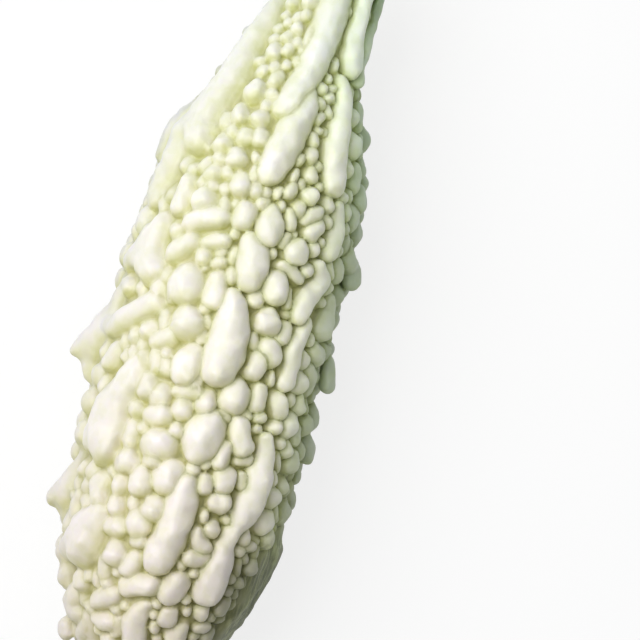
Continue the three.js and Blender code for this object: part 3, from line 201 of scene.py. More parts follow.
    [[(-91.7,14.3,0.5,3.46),(-90.1,10.1,0.33,3.98),(-89.2,5.7,0.42,4.14),(-88.8,1.1,0.77,3.95)]],[[(-97.8,14.2,0.72,1.39),(-98.3,14.2,0.94,1.47)]],
    [[(-105.7,34.8,0.66,2.83),(-105.3,29.5,0.48,3.47),(-104.9,24.1,0.91,3.23)]],
    [[(-103.1,16.8,0.94,1.73),(-105.6,17.7,0.87,2.12),(-108.1,18.5,1.16,1.97)]],
    [[(-95.7,0,0.91,2.15),(-97.3,3.5,0.84,3.01),(-99.9,4.5,0.9,3.67),(-102.5,5.3,0.85,4.12),(-105,4,1,4.36),(-107.6,2.7,1.28,4.29),(-110.2,1.2,1.51,4.21)]],
    [[(-109.5,50.7,0.66,2.83),(-111.5,55.5,0.48,3.47),(-113.5,60.1,0.68,3.5)]],[[(-113.1,81.9,5.2,3.06),(-114.8,81.8,5.87,3.06)]],
    [[(-111.7,27.5,0.82,2.2),(-111.2,22.8,1.05,2.51)]],[[(-85.2,-13.3,0.45,4.09),(-87.3,-13,0.14,5.02),(-89.3,-11.8,0.74,4.7)]],
    [[(-90,-21.7,0.98,1.63),(-90.9,-22.2,1.12,1.87)]],[[(-96.6,-15,0.66,3.18),(-98.2,-15.2,0.94,3.63)]],
    [[(-94,-25.6,0.84,1.63),(-94.6,-25.6,1.11,1.72)]],[[(-93,-35.2,0.45,2.9),(-94,-35.2,0.92,3.06)]],
    [[(-99.3,-40,0.89,2.48),(-98.9,-42.3,1.17,2.83)]],[[(-100.8,-26.5,0.73,3.11),(-102.7,-26.5,0.53,3.82),(-104.4,-26,1.01,3.57)]],
    [[(-101.8,-8.9,0.94,1.85),(-102.8,-9.5,1.17,2.11)]],[[(-105.7,-13.6,0.82,1.69),(-106.3,-13.6,1.09,1.78)]],
    [[(-88.8,-49.2,0.98,2.04),(-90.5,-48.8,0.9,2.5),(-92.2,-47.9,1.23,2.33)]],[[(-81.4,-50.7,0.98,2.04),(-82,-50.6,1.23,2.33)]],
    [[(142.8,62.8,-0.14,2),(136,62.8,-0.14,2.32),(128.5,62.8,-0.14,2.65),(112.2,62.8,0.03,3.37),(101.9,55.6,-0.44,4.86),(90.1,52.6,-0.7,5.8),(78.6,47.9,-0.86,6.47),(67.8,48.3,-0.71,6.66),(60.3,46.8,-0.41,6.36),(55.6,43.3,0.36,5.42)],[(76.9,52.3,0.03,3.37),(70.7,54.8,-0.58,4.49),(64.5,56.9,-1,5.42),(55.1,63.5,-1.6,6.36),(46.2,59.7,-1.41,6.17),(37,62.3,-0.46,5.05),(33.8,60.2,0.49,3.93)]],
    [[(142.8,-6.7,-0.33,3.02),(136,-6.7,-0.4,3.56),(128.5,-6.7,-0.47,4.11),(120.6,-6.7,-0.78,4.71),(109.7,-12.1,-0.86,5.62),(99,-15.3,-0.52,5.62),(91.7,-14.7,0.38,4.55)],[(93,-14.1,0.74,4.19),(83.2,-10.5,0.49,4.78),(76,-6.9,0.61,5),(73.6,-4.8,0.77,4.84)]],
    [[(80,-18.2,0.83,3.08),(73.1,-15.7,0.53,4.91),(64.5,-11.8,0.63,5.32),(56.6,-8.4,1.13,4.99),(51.1,-6.4,1.86,4.09)]],
    [[(142.8,-50.4,-0.01,1.95),(136,-50.4,0.05,2.31),(128.5,-50.4,0.1,2.68),(123.2,-50.4,0.59,2.95),(112.4,-48,0.79,3.29),(102.6,-48.8,0.95,3.81),(95.9,-52.4,0.94,4.33),(94,-53.7,1.11,4.16)]],
    [[(88.1,-44.5,1.14,2.6),(81.2,-48.3,1.64,3.29),(70.9,-46.5,1.45,4.33),(60.8,-45.6,1.44,4.68),(54,-47,1.61,4.51)]],
    [[(-33.2,-41.2,1.48,2.6),(-39,-43.4,1.29,3.64),(-47.1,-42.3,0.92,5.2),(-54.4,-41,0.91,5.72),(-60.5,-37.7,1.44,4.51),(-64.7,-35,1.77,2.95)],[(-68.4,-33.6,1.47,2.95),(-75,-32.7,1.1,4.68),(-82.4,-32.3,0.73,5.9),(-85.9,-32.7,0.91,5.72)]],
    [[(-4.4,-30.2,0.77,4.16),(-6.5,-32.3,0.77,4.16)]],[[(-8,-26.6,0.92,3.5),(-12.6,-25,1.25,3.34)]],
    [[(28.3,-5.5,1.63,2.79),(23.9,-9.7,0.26,5.52),(20.8,-11,0.25,5.87),(16,-10.8,1.22,4.22)]],
    [[(9.3,-5.2,1.59,3.17),(5.8,-6.5,1.14,4.64),(1.2,-7.3,0.95,5.85),(-5.4,-7.9,0.72,6.76),(-11.8,-7.4,1.18,6.47),(-15.2,-7.2,1.75,5.73)]],
    [[(-53.9,-4.4,0.5,4.26),(-60.7,-4,0.41,5.37),(-69.3,-2.7,0.72,5.57),(-77.2,-0.6,0.67,5.79),(-80,0.3,1.05,5.24)]],
    [[(-33,-9,-0.06,5.5),(-37.7,-6.9,-0.54,7),(-42.9,-5.5,1.01,4.43)]],
    [[(26.1,48.3,0.31,4.11),(18.9,50.5,-0.2,5.98),(13.5,48.9,0.1,6.36),(10.4,43.4,1.39,5.24)],[(20.8,53,0.27,4.49),(14.9,59.2,0.58,4.86),(11.6,66.8,1.19,3.74)]],
    [[(-21.7,36.1,-0.1,4.86),(-29.9,41.1,-0.43,6.55),(-39.1,46.2,-0.53,7.67),(-46.7,46.5,0.37,7.11),(-50.3,45.2,1.34,5.8)],[(-33.9,50.9,-0.14,5.24),(-43.5,56.7,-0.17,5.61),(-49.2,58.5,0.41,4.86)]],
    [[(-70.7,41,0.31,4.11),(-75.6,44.1,-0.22,6.17),(-81.2,47.3,-0.32,7.29),(-84.3,47.7,0.42,6.55)],[(-76,51.2,0.25,4.68),(-82.1,59.4,0.24,4.86),(-86.2,62.2,0.82,4.11)]],
    [[(3,74,-4.52,6.5),(-5,78,-3.62,7.2),(-12,82,-0.82,7),(-17,85,2.88,5.9),(-20.5,87,6.88,4),(-22.2,88,9.08,2.6)],[(-19,84,0.08,6),(-25.5,86,1.88,5),(-29.5,85,-0.92,4.6)],[(0.2,37.2,0.25,4.68),(-4,45.5,0.2,5.24),(-8.7,57.1,0.05,5.05),(-14,79.5,-0.08,4.68)]],
    [[(-57,76,-3.42,5.6),(-63,80,-1.92,6.2),(-68,84,1.18,5.4),(-71.5,87,4.78,3.9),(-73.6,88,6.68,2.5)],[(-70,82,0.68,4.8),(-76,85,0.08,4),(-79,84,-1.72,3.6)]],
    [[(-71.5,-71,-3.2,5),(-84,-71,-4.32,6.9),(-94,-70,-4.22,6.6),(-103,-69,-3.72,5.8),(-110,-68,-3.12,4.8)],[(-62.5,-85,-2.4,4.6),(-73,-87,-3.22,7.2),(-82,-87,-4.22,7.2),(-93,-86,-3.92,7),(-104,-85,-3.12,6.2),(-112,-84,-2.72,5)]],
    [[(111.6,-159.9,0.09,3.18),(110.5,-160.4,0.56,3.35)]],[[(106.7,-165.7,0.66,2.02),(105.9,-166,1,2.13)]],
    [[(104.7,-158.6,0.61,2.03),(103.9,-158.8,0.91,2.14)]],[[(102.3,-152.6,0.74,1.77),(101.7,-152.9,1.02,1.86)]],
    [[(100.9,-166.7,0.48,2.42),(100,-166.9,0.87,2.55)]],[[(97.5,-161.8,0.47,2.36),(96.6,-162,0.83,2.49)]],
    [[(90.9,-157.4,0.75,2.5),(89.8,-158.7,0.6,3.06),(88.7,-160.4,0.99,2.85)]],[[(92.9,-170.6,0.5,2.32),(92,-170.7,0.86,2.45)]],
    [[(82,-159.4,0.43,2.42),(81.1,-159.4,0.79,2.55)]],[[(86.2,-175.7,0.75,1.64),(85.5,-175.7,1,1.73)]],
    [[(82.3,-173.8,0.88,2.01),(80.8,-173,0.78,2.47),(79.3,-172.3,1.11,2.3)]],[[(88.8,176.4,0.63,2.01),(88,176.4,0.93,2.11)]],
    [[(93.2,177.4,0.73,1.67),(92.5,177.3,0.97,1.76)]],[[(102.9,177.8,0.85,1.97),(99.9,176.5,0.75,2.42),(96.8,175.4,1.05,2.26)]],
    [[(75.2,-160.8,0.51,3.54),(73.8,-160.6,0.79,4.04)]],[[(71,-173.1,0.6,2.04),(70.3,-173.1,0.91,2.15)]],
    [[(113,157.1,0.76,1.41),(111.5,156.1,0.93,1.73),(110.2,154.5,0.86,1.61)]],[[(93.4,143.1,0.74,1.14),(91.7,143,0.91,1.4),(90.1,142.3,0.85,1.3)]],
    [[(86.9,146.9,0.77,1.48),(86.3,146.9,1.01,1.56)]],[[(77,151.7,0.5,2.47),(76.1,151.7,0.87,2.6)]],[[(79.6,142.9,0.78,1.95),(78.9,143,1.09,2.05)]],
    [[(72.6,147.9,0.93,1.89),(71.6,150.3,1.14,2.17)]],[[(65.7,150.6,0.92,1.9),(64.8,150,0.85,2.32),(63.9,149.6,1.13,2.16)]],
    [[(67.7,142.3,0.61,1.38),(67.3,142.2,0.82,1.46)]],[[(59.8,148.1,0.4,2.79),(58.9,147.9,0.81,2.94)]],
    [[(58.4,155.3,0.78,1.84),(57.7,155.1,1.07,1.94)]],[[(53.8,144.6,0.46,2.72),(53,144.5,0.87,2.86)]],
    [[(54.5,154.3,0.92,1.48),(53.2,154.6,1.03,1.81),(51.9,154.7,1.05,1.69)]],[[(48.8,142.4,0.85,2.95),(48.4,142.9,1.16,3.37)]],
    [[(49,154,0.93,2.08),(47.9,154.6,0.84,2.55),(46.7,155.4,1.18,2.38)]],[[(47.5,161.6,0.92,1.78),(46.7,161.9,0.84,2.19),(46,162.4,1.08,2.04)]],
    [[(60.4,103.8,0.28,3.16),(58,102.9,-0.01,3.9),(55.6,103.6,0.5,3.57)]],[[(67.6,-157.7,0.75,2.7),(66.4,-158.7,0.59,3.31),(65.2,-160.1,1.01,3.08)]],
    [[(63.6,-150.3,0.91,1.77),(62.2,-151.7,0.84,2.16),(60.9,-153.2,1.13,2.02)]],[[(67.3,-172.4,0.01,3.37),(66.2,-172.6,0.5,3.55)]],
    [[(60.4,-169.6,0.09,3.17),(59.4,-169.8,0.56,3.35)]],[[(60.4,-178.1,0.02,3.42),(59.3,-178.4,0.55,3.61)]],
    [[(56.8,-157.8,0.57,3.15),(56.2,-158.5,0.83,3.6)]],[[(58.9,-147.7,0.66,1.17),(58.5,-147.8,0.86,1.23)]],
    [[(54.5,-150.3,0.68,1.44),(54.1,-150.4,0.91,1.52)]],[[(53.8,-170.2,0.51,3.33),(53,-170.7,0.77,3.81)]],
    [[(55,179.2,0.92,1.76),(54.7,178.9,1.13,2.01)]],[[(51.6,177.1,0.97,1.68),(50.4,176.7,0.91,2.06),(49.2,176.3,1.19,1.92)]],
    [[(50.3,-154.1,0.8,2.03),(49.4,-153.3,0.69,2.49),(48.4,-152.8,1.01,2.32)]],[[(47.9,-160.2,0.3,2.81),(47,-160,0.75,2.96)]],
    [[(44.6,-155.2,0.81,1.67),(44,-155,1.09,1.76)]],[[(46.2,-176.6,0.42,3.67),(44.9,-176.8,0.69,4.19)]],
    [[(45.2,174,0.44,2.48),(44.4,174.2,0.83,2.61)]],[[(46.2,168.5,0.8,1.69),(45.7,168.6,1.08,1.78)]],
    [[(44.2,-168.5,0.94,1.58),(43.6,-168.7,0.92,1.94),(43,-168.9,1.07,1.8)]],[[(39.7,-168.6,0.8,2.03),(38.8,-168.7,1,2.32)]],
    [[(39.1,-156,0.45,3.83),(39,-156.4,0.74,4.37)]],[[(40.9,-175.4,0.71,1.4),(40.5,-175.2,0.93,1.48)]],
    [[(47.5,-140.5,0.59,2.19),(46.8,-140.4,0.96,2.31)]],
    [[(42.9,-145.4,0.52,3.41),(40.4,-144.3,0.36,3.93),(37.8,-142.9,0.45,4.09),(35.2,-141.6,0.78,3.9)]],
    [[(36.3,-125.6,0.89,1.36),(34.9,-126.8,1.03,1.67),(33.6,-127,1.01,1.55)]],
    [[(38.9,179.3,0.32,3.71),(37.4,-180,0.03,4.55),(35.7,-179.2,0.56,4.24)]],
    [[(40.9,164.6,0.67,2.4),(38.7,165.2,0.5,4.08),(36.4,165.9,0.54,4.84),(34.1,166.7,2.38,4.67)]],[[(42.8,158.2,0.86,1.65),(42.2,158.4,1.13,1.74)]],
    [[(41,153.5,0.94,1.87),(39.3,153.6,0.87,2.29),(37.6,153.9,1.15,2.13)]],[[(42,144.8,0.96,2.18),(43.5,139.9,0.86,2.67),(45,135.1,1.22,2.49)]],
    [[(39.7,135.6,0.65,3.14),(38.3,138.2,0.45,3.85),(36.9,141.1,0.92,3.59)]],
    [[(46.3,120.5,0.99,2.97),(43.1,119,0.85,3.39),(39.8,120.1,0.76,3.75),(36.4,123.1,1.07,3.54),(32.9,125.9,1.32,3.39)]],
    [[(51.3,109.6,0.73,2.12),(50.6,109.6,1.06,2.23)]],[[(39.4,104.9,0.5,2.48),(37.9,105.2,0.29,3.06),(36.3,106.5,0.68,2.84)]],
    [[(31.9,-174.3,0.78,1.72),(31.3,-174,1.06,1.81)]],[[(35,155.6,0.92,1.45),(33.6,157.8,1.06,1.78),(32.2,159.6,1.05,1.66)]],
    [[(36.1,151.6,0.62,1.38),(35.6,151.8,0.82,1.46)]],[[(29.3,165,0.81,1.72),(28.7,165.3,1.08,1.81)]],
    [[(30.1,151.5,0.23,4.62),(30.1,151.4,0.53,5.28)]],[[(26.7,-173.8,0.71,1.32),(24.4,-173,0.87,1.62),(22.1,-172.4,0.81,1.51)]],
    [[(26.3,160.2,0.94,1.98),(25.6,156,0.91,2.25),(24.7,152,1,2.33),(23.4,148.1,1.21,2.22)]],
    [[(27.9,135.2,1.39,3.14),(24.6,131.7,1.35,3.49),(20.2,136.9,1.31,3.84),(16,142.9,1.57,3.71),(11.4,143.6,1.83,3.58)]],
    [[(29.9,113.9,0.33,3.12),(28.4,112.8,-0.25,3.95),(26.9,112.8,-0.15,3.73)]],
    [[(30.6,-112,0.81,3.43),(29.2,-111.3,0.62,4.2),(27.8,-111.8,1.23,3.83)]],[[(7,-109.5,0.51,3.14),(5.7,-115.6,0.75,3.59)]],
    [[(25.5,-148.1,0.44,3.34),(23.9,-145.1,0.27,3.85),(22.4,-142.1,0.35,4.01),(20.8,-139.4,0.68,3.82)]],
    [[(30,-148.5,0.57,3.26),(31.3,-153.1,0.45,3.63),(32.7,-157.5,0.34,4),(33.5,-162.2,0.59,3.86),(34.4,-166.7,0.83,3.73)]],
    [[(25.7,-158,0.69,2.49),(26.6,-162.8,0.53,3.05),(27.6,-167.6,0.91,2.85)]],[[(22.3,-156.8,0.41,2.58),(21.4,-156.5,0.83,2.72)]],
    [[(23.8,-164.2,0.87,1.39),(24.2,-165.9,1.01,1.7),(24.6,-167.6,0.99,1.59)]],
    [[(20.8,-164.1,0.83,1.99),(21.1,-165.4,0.73,2.44),(21.5,-166.8,1.04,2.27)]],[[(18.6,-158.6,0.58,1.29),(18.1,-158.6,0.77,1.36)]],
    [[(18.8,-172.8,0.91,1.78),(17.9,-173.1,0.83,2.18),(16.9,-173.5,1.12,2.03)]],
    [[(14.5,-137.9,0.93,1.74),(13.5,-138.7,0.86,2.13),(12.6,-139.7,1.15,1.99)]],[[(8.3,-138.1,0.26,2.87),(7.2,-138.5,0.71,3.02)]],
    [[(14.5,-150.8,-0.25,5.37),(12.5,-151.4,-0.74,6.59),(10.4,-153.1,0.01,6.14)]],
    [[(7.8,-146.8,0.83,1.43),(7,-147.8,0.97,1.76),(6.2,-148.5,0.95,1.64)]],
    [[(15,-167,0.4,3.5),(12.8,-167.4,0.23,4.02),(10.6,-168.1,0.31,4.19),(8.3,-169.1,1.96,4)]],
    [[(-18.3,-129,0.38,3.62),(-20,-127.6,0.01,4.55),(-21.8,-127.2,0.51,4.28)]],
    [[(-15.7,-142.9,0.85,1.95),(-16.6,-143.6,0.76,2.4),(-17.4,-144.6,1.07,2.23)]],
    [[(-17.2,-150.3,0.88,2.11),(-18.6,-151.2,0.78,2.59),(-20,-152.3,1.12,2.42)]],
    [[(-14.8,-157.4,0.76,2.18),(-16.9,-158.8,0.64,2.68),(-19,-160,0.97,2.49)]],[[(-16.8,-164.8,0.79,2.25),(-18.1,-165.8,1.01,2.57)]],
    [[(-9.7,-154.1,0.63,2.87),(-8.4,-156.9,0.44,3.52),(-7.1,-159.8,0.87,3.28)]],
    [[(-1.3,-150.5,0.89,2),(-2.9,-151.8,0.79,2.45),(-4.5,-153.5,1.12,2.29)]],[[(-0.1,-162.9,-0.03,5.13),(-1.4,-164.5,0.42,5.86)]],
    [[(-12.6,-175.4,0.41,4.34),(-15.8,-175.8,-0.66,5.32),(-19,-175.9,-0.36,4.96)]],
    [[(-3.3,-173.8,0.97,1.54),(-4.6,-174.7,0.96,1.88),(-5.8,-175.6,1.11,1.75)]],[[(6.2,-167.3,0.68,1.93),(5.4,-167.6,0.99,2.03)]],
    [[(2.1,-171.7,0.79,1.2),(1.2,-172.5,0.97,1.47),(0.4,-173.3,0.91,1.37)]],
    [[(-24.4,-157,0.62,3.09),(-26.3,-157.4,0.41,3.79),(-28.2,-158.1,0.88,3.53)]],[[(-31.6,-123.4,0.39,2.62),(-32.6,-123.3,0.81,2.76)]],
    [[(-27.9,-165.4,-0.07,3.75),(-29.4,-165.1,1.68,3.95)]],
    [[(-26,-173.9,0.83,2.18),(-25.3,-177.3,1.95,2.51),(-24.7,179.3,1.82,2.62),(-24,176,2.04,2.5)]],
    [[(-19.8,177.7,0.79,2.25),(-20.9,177.4,1.76,2.75),(-22,177.2,1.94,2.57)]],[[(13.3,170.9,0.36,2.87),(12.2,170.7,0.82,3.02)]],
    [[(20.8,162.6,0.39,4.13),(18.9,162,0.1,5.05),(17.1,161.5,0.72,4.69)]],[[(18.6,152.4,0.8,1.29),(16.7,152.1,0.98,1.59),(14.7,151.3,0.91,1.48)]],
    [[(7.7,159.3,0.15,4.65),(7.1,159.2,0.44,5.31)]],[[(0.4,161.8,0.86,1.56),(-1.1,160.6,0.97,1.91),(-2.6,159.1,0.97,1.78)]],
    [[(6,147.2,0.89,2.37),(3.9,147.4,0.78,2.91),(1.8,147.7,1.16,2.71)]],[[(-10.1,141.3,0.82,1.26),(-11.5,140.5,1.01,1.54),(-12.9,139.4,0.94,1.44)]],
    [[(9.1,135.1,1.29,3.1),(4.1,136.3,1.25,3.45),(-0.9,136.3,1.2,3.8),(-6.2,132.7,1.46,3.67),(-11.7,131.1,1.71,3.54)]],
    [[(12.4,150.2,0.59,1.05),(11.6,149.8,0.73,1.28),(10.8,149.1,0.68,1.2)]],
    [[(18,117.1,-1.26,4.78),(15.4,114.9,-1.81,5.69),(12.6,116.2,-1.19,5.77),(9.8,118,-0.05,5.28)]],
    [[(1.2,119.2,0.33,3.15),(-0.1,114.2,-0.21,4.15),(-1.3,109.4,0,4.12)]],[[(-36.9,-151.8,0.73,2.53),(-36.9,-152.3,0.96,2.89)]],
    [[(-35.7,-162.3,0.34,3.69),(-35.3,-164.5,1.18,4.52),(-34.9,-166.9,1.11,4.21)]],[[(-30.8,-178.2,0.82,3.58),(-32.2,-177.9,0.62,3.77)]],
    [[(-38.7,-175.7,2.09,2.4),(-39.4,-175.9,1.74,2.75)]],[[(-42.1,-151.4,0.71,2.45),(-44.8,-150.8,0.57,3),(-47.5,-150.7,0.94,2.8)]],
    [[(-46.7,-163.9,0.01,4.43),(-46.4,-166.6,0.01,5.43),(-45.9,-169.5,-0.01,5.06)]],[[(-54.5,-150.8,0.34,3.98),(-53.8,-152.6,0.62,4.55)]],
    [[(-51,-164.4,0.7,2.77),(-50.6,-166.2,0.96,3.16)]],[[(-58.1,-161.8,0.4,3.79),(-59.6,-162.2,0.12,4.65),(-61,-163.1,0.68,4.33)]],
    [[(-53,-176.2,0.55,4.1),(-55.2,-176,-0.31,5.03),(-57.4,-175.9,0.11,4.69)]],[[(-50.3,173.6,0.81,2.43),(-50.9,173.3,2.02,2.77)]],
    [[(-63.2,-138.9,0.52,3.33),(-65.9,-137.2,0.28,4.08),(-68.4,-138.6,0.78,3.8)]],[[(-61.7,-150.4,0.33,2.77),(-62.8,-150.4,0.78,2.91)]],
    [[(-60.6,-120.5,0.47,2.5),(-61.6,-120.5,0.9,2.63)]],[[(-25.6,170.8,1.69,3.21),(-27.4,170.7,1.22,3.67)]],
    [[(-19.5,156.1,0.2,4.6),(-21.5,156.3,-0.17,5.64),(-23.5,156.9,0.5,5.26)]],
    [[(-29.9,163.2,0.86,2.16),(-30.1,161.9,0.77,2.64),(-30.4,160.8,1.12,2.45)]],
    [[(-17.7,143.9,0.88,2.7),(-20.1,143.4,0.74,3.31),(-22.5,143.4,1.18,3.09)]],
    [[(-26.9,142.7,1.06,1.82),(-26.7,141.2,1.01,2.23),(-26.4,140,1.32,2.08)]],
    [[(-31.6,142.4,0.84,1.5),(-31.4,141.6,1.03,1.84),(-31.3,140.2,0.97,1.71)]],
    [[(-18.1,131.5,0.83,2.99),(-20,129.9,0.66,3.67),(-21.9,129,1.13,3.42)]],[[(-27.4,129.1,0.93,2.53),(-28.6,129.8,1.21,2.89)]],
    [[(-17.4,113.1,0.26,3.06),(-19.5,112.1,0.5,3.5)]],[[(-28.7,108,-0.97,3.44),(-30.8,108.3,-0.77,3.9)]],
    [[(-33.3,123.1,0.96,2.06),(-34,123.7,1.21,2.36)]],
    [[(-32.3,152.1,0.53,3.71),(-34.9,151.5,0.38,4.25),(-37.2,150.3,0.5,4.4),(-39.5,148.8,0.88,4.18)]],
    [[(-44.1,150.5,1.08,1.68),(-43.7,147.5,1.04,2.06),(-43.2,144.4,1.25,1.92)]],
    [[(-40.4,158.9,0.88,2.57),(-43.1,159.5,0.75,3.16),(-45.7,160.1,1.16,2.94)]],[[(-47,167,0.7,1.93),(-47.7,167,1,2.04)]],
    [[(-53.7,165.4,0.71,2.6),(-55.1,165.1,0.55,3.18),(-56.4,164.8,0.95,2.96)]],
    [[(-49,156.3,0.58,3.54),(-50.6,155.6,0.35,4.33),(-52.3,155.3,0.88,4.03)]],[[(-49.1,146,0.95,1.87),(-50.6,145.4,0.88,2.3),(-52.1,145,1.1,2.14)]],
    [[(-39.2,123.8,0.68,1.19),(-42.2,123.1,0.83,1.46),(-45.2,121.6,0.7,1.38)]],[[(-38.7,109,-0.52,3.72),(-40.5,109,-0.2,4.25)]],
    [[(-49,112.4,-0.2,2.88),(-49.6,113.3,0.19,3.29)]],[[(-70.5,-120.8,0.53,2.66),(-73,-118.6,0.25,3.36),(-75.4,-116.9,0.61,3.18)]],
    [[(-68.1,-150.6,0.71,2.65),(-69.5,-151.2,0.55,3.25),(-70.8,-152.1,0.96,3.03)]],[[(-66.4,-161.2,0.84,1.97),(-67,-161.6,1.05,2.25)]],
    [[(-66.4,-173.4,1.52,3.85),(-68.1,-172.8,1.11,4.4)]],[[(-71.5,-166,-0.49,4.56),(-73,-165.6,0.2,4.81)]],
    [[(-75.8,-149.9,0.66,2.93),(-75.5,-154.3,0.92,3.35)]],[[(-78.4,-164.6,0.78,2.36),(-78.1,-167.1,1.01,2.69)]],
    [[(-83.4,-151.8,0.31,3.93),(-84.6,-151.5,0.57,4.49)]],[[(-87,-143.9,0.8,2.13),(-88.7,-143.6,0.68,2.61),(-90.2,-143.6,1.01,2.43)]],
    [[(-84.1,-163.3,0.63,2.97),(-85.6,-161.4,0.43,3.64),(-87.1,-159.7,0.89,3.39)]],[[(-87.9,-152.4,0.81,1.46),(-88.4,-152.6,0.93,1.67)]],
    [[(-59.4,155.9,0.5,3.85),(-59.1,153.6,0.84,4.37)]],[[(-63.9,161.1,0.95,1.43),(-64.6,160.8,1.08,1.75),(-65.4,160.5,1.08,1.63)]],
    [[(-63.9,147.6,0.87,1.73),(-63.7,147.1,1,1.97)]],[[(-67.3,154.9,0.83,2.65),(-68.2,154.8,1.11,3.03)]],
    [[(-71.3,162.4,0.77,2.62),(-73.5,161.1,0.64,3.19),(-74.8,158.1,1.07,2.94)]],
    [[(-78.1,158.1,0.74,2.89),(-79.1,161.2,0.54,3.57),(-79.3,164.7,0.96,3.36)]],[[(-83.2,162.4,1.01,1.6),(-83.5,162.5,1.15,1.82)]],
    [[(-80.8,169.3,0.82,1.71),(-81.3,169.6,1.09,1.8)]],[[(-58.7,113.1,-0.24,2.18),(-60.2,111.6,-0.59,2.74),(-61.7,110.1,-0.54,2.61)]],
    [[(-66.7,113.9,-0.54,3.65),(-67.9,114,0.11,3.84)]],[[(-72.3,131.2,0.97,2.05),(-72.2,128.5,1.23,2.34)]],
    [[(-77.4,123.9,0.91,2.56),(-78.6,124.1,1.19,2.92)]],[[(-76.1,135,0.68,1.2),(-78.1,134.7,0.83,1.47),(-80.2,134,0.77,1.37)]],
    [[(-95,-121,0.6,3.02),(-96.4,-123.6,0.85,3.45)]],[[(-100.1,-112.9,0.68,3.88),(-102.7,-109.1,0.09,5.16),(-104.8,-112.1,0.85,4.64)]],
    [[(-97.6,-124.6,0.69,1.35),(-99.6,-125.2,0.84,1.66),(-101.7,-124.7,0.78,1.55)]],
    [[(-91.3,-136.8,0.79,1.5),(-92.5,-136.9,0.91,1.84),(-93.7,-136.6,0.9,1.71)]],[[(-91.9,-145.2,0.58,2.2),(-92.6,-145,0.95,2.32)]],
    [[(-99,-139.1,0.72,2.84),(-97.6,-144,0.55,3.48),(-96.4,-149.2,0.99,3.24)]],
    [[(-92.7,-158.8,0.31,3.73),(-91.3,-163.5,0.11,4.29),(-90.5,-168.2,0.19,4.47),(-90.1,-172.9,0.55,4.26)]],
    [[(-97,-158.4,0.69,1.43),(-97.4,-158.4,0.92,1.5)]],[[(-104.2,-139.8,0.53,3.02),(-103.8,-145,0.31,3.7),(-103.5,-150.1,0.75,3.45)]],
    [[(-101.9,-156.8,0.93,1.74),(-104.1,-156.8,0.86,2.14),(-106.3,-157.2,1.14,1.99)]],
    [[(-96.4,-172.6,0.95,2.09),(-97.8,-169.1,0.9,2.93),(-100.1,-168.3,0.97,3.57),(-102.4,-168.1,0.92,4.01),(-104.7,-170.3,1.08,4.25),(-107,-172.8,1.36,4.18),(-109.4,-175.7,1.59,4.11)]],
    [[(-107.7,-125.8,0.53,3.01),(-109.5,-122.2,0.32,3.69),(-111.3,-118.8,0.52,3.73)]],[[(-110,-150.3,0.86,2.14),(-109.7,-154.7,1.1,2.45)]],
    [[(-86.2,171.3,0.22,4.42),(-88.1,172.4,-0.14,5.42),(-89.8,174.4,0.48,5.07)]],[[(-90,164.7,0.9,1.75),(-90.9,164.5,1.03,2)]],
    [[(-96.1,172.5,0.71,3.1),(-97.5,172.2,1,3.54)]],[[(-94.1,161.7,0.88,1.58),(-94.6,161.8,1.14,1.67)]],
    [[(-93.1,151.9,0.4,2.97),(-94,152.1,0.87,3.13)]],[[(-98.4,147.3,0.85,2.54),(-98.1,145.1,1.11,2.91)]],
    [[(-100.8,160.5,0.64,3.23),(-102.4,160.1,0.43,3.97),(-104,159.9,0.91,3.7)]],[[(-101.6,177.9,0.86,1.95),(-102.5,177,1.08,2.23)]],
    [[(-104.6,171.8,0.83,1.67),(-105.1,171.5,1.11,1.76)]],[[(-88.9,136.8,0.87,2.2),(-90.4,137.7,0.76,2.69),(-91.9,139,1.11,2.51)]],
    [[(-82.4,132.2,0.92,2.12),(-83,132.7,1.17,2.43)]],
    [[(142.8,-116.4,-0.09,1.92),(136,-112.5,-0.08,2.23),(128.5,-109.9,-0.07,2.55),(112.2,-113.3,0.12,3.24),(101.6,-124.8,-0.31,4.68),(89.2,-129.7,-0.54,5.58),(77.3,-133.8,-0.69,6.23),(66.5,-133.9,-0.53,6.41),(59.5,-136.8,-0.24,6.12),(55.3,-141.1,0.5,5.22)],[(75.5,-129.4,0.12,3.24),(69.3,-127.1,-0.46,4.32),(63.4,-125.9,-0.86,5.22),(54.9,-120.9,-1.43,6.12),(46.9,-124.8,-1.25,5.94),(38.7,-119,-0.33,4.86),(35.8,-119.4,0.6,3.78)]],
    [[(142.8,174.1,-0.49,3.26),(136,178,-0.59,3.84),(128.5,-179.4,-0.69,4.43),(120.6,-179.8,-1.04,5.08),(109.4,170.7,-1.17,6.06),(98,163.5,-0.83,6.07),(90.3,163.1,0.13,4.91)],[(91.7,163.7,0.51,4.52),(81.5,167.6,0.23,5.16),(74.1,171.5,0.33,5.4),(71.7,173.5,0.5,5.22)]],
    [[(78.7,160,0.88,3.01),(71.7,162.6,0.61,4.8),(63.4,165.4,0.72,5.2),(56.2,167.4,1.2,4.88),(51.3,168.8,1.92,4)]],
    [[(142.8,130.4,-0.11,2.09),(136,134.3,-0.07,2.48),(128.5,136.8,-0.04,2.88),(123.2,136.9,0.43,3.17),(112.5,135.9,0.61,3.54),(102.6,131,0.75,4.1),(95.7,125.7,0.71,4.66),(93.6,124.2,0.89,4.47)]],
    [[(87.2,133.3,1.1,2.65),(80,129.9,1.59,3.36),(69.8,131.6,1.39,4.42),(60.1,131,1.38,4.77),(54,128.4,1.55,4.59)]],
    [[(-34.8,135.4,1.38,2.75),(-41.1,134.3,1.14,3.85),(-49.9,136.2,0.71,5.5),(-57.5,137.2,0.68,6.05),(-63.7,140.2,1.26,4.76),(-67.8,142.9,1.65,3.11)],[(-71.3,144.9,1.36,3.11),(-77.6,147.6,0.91,4.95),(-84.4,151.1,0.5,6.23),(-87.6,152.2,0.68,6.05)]],
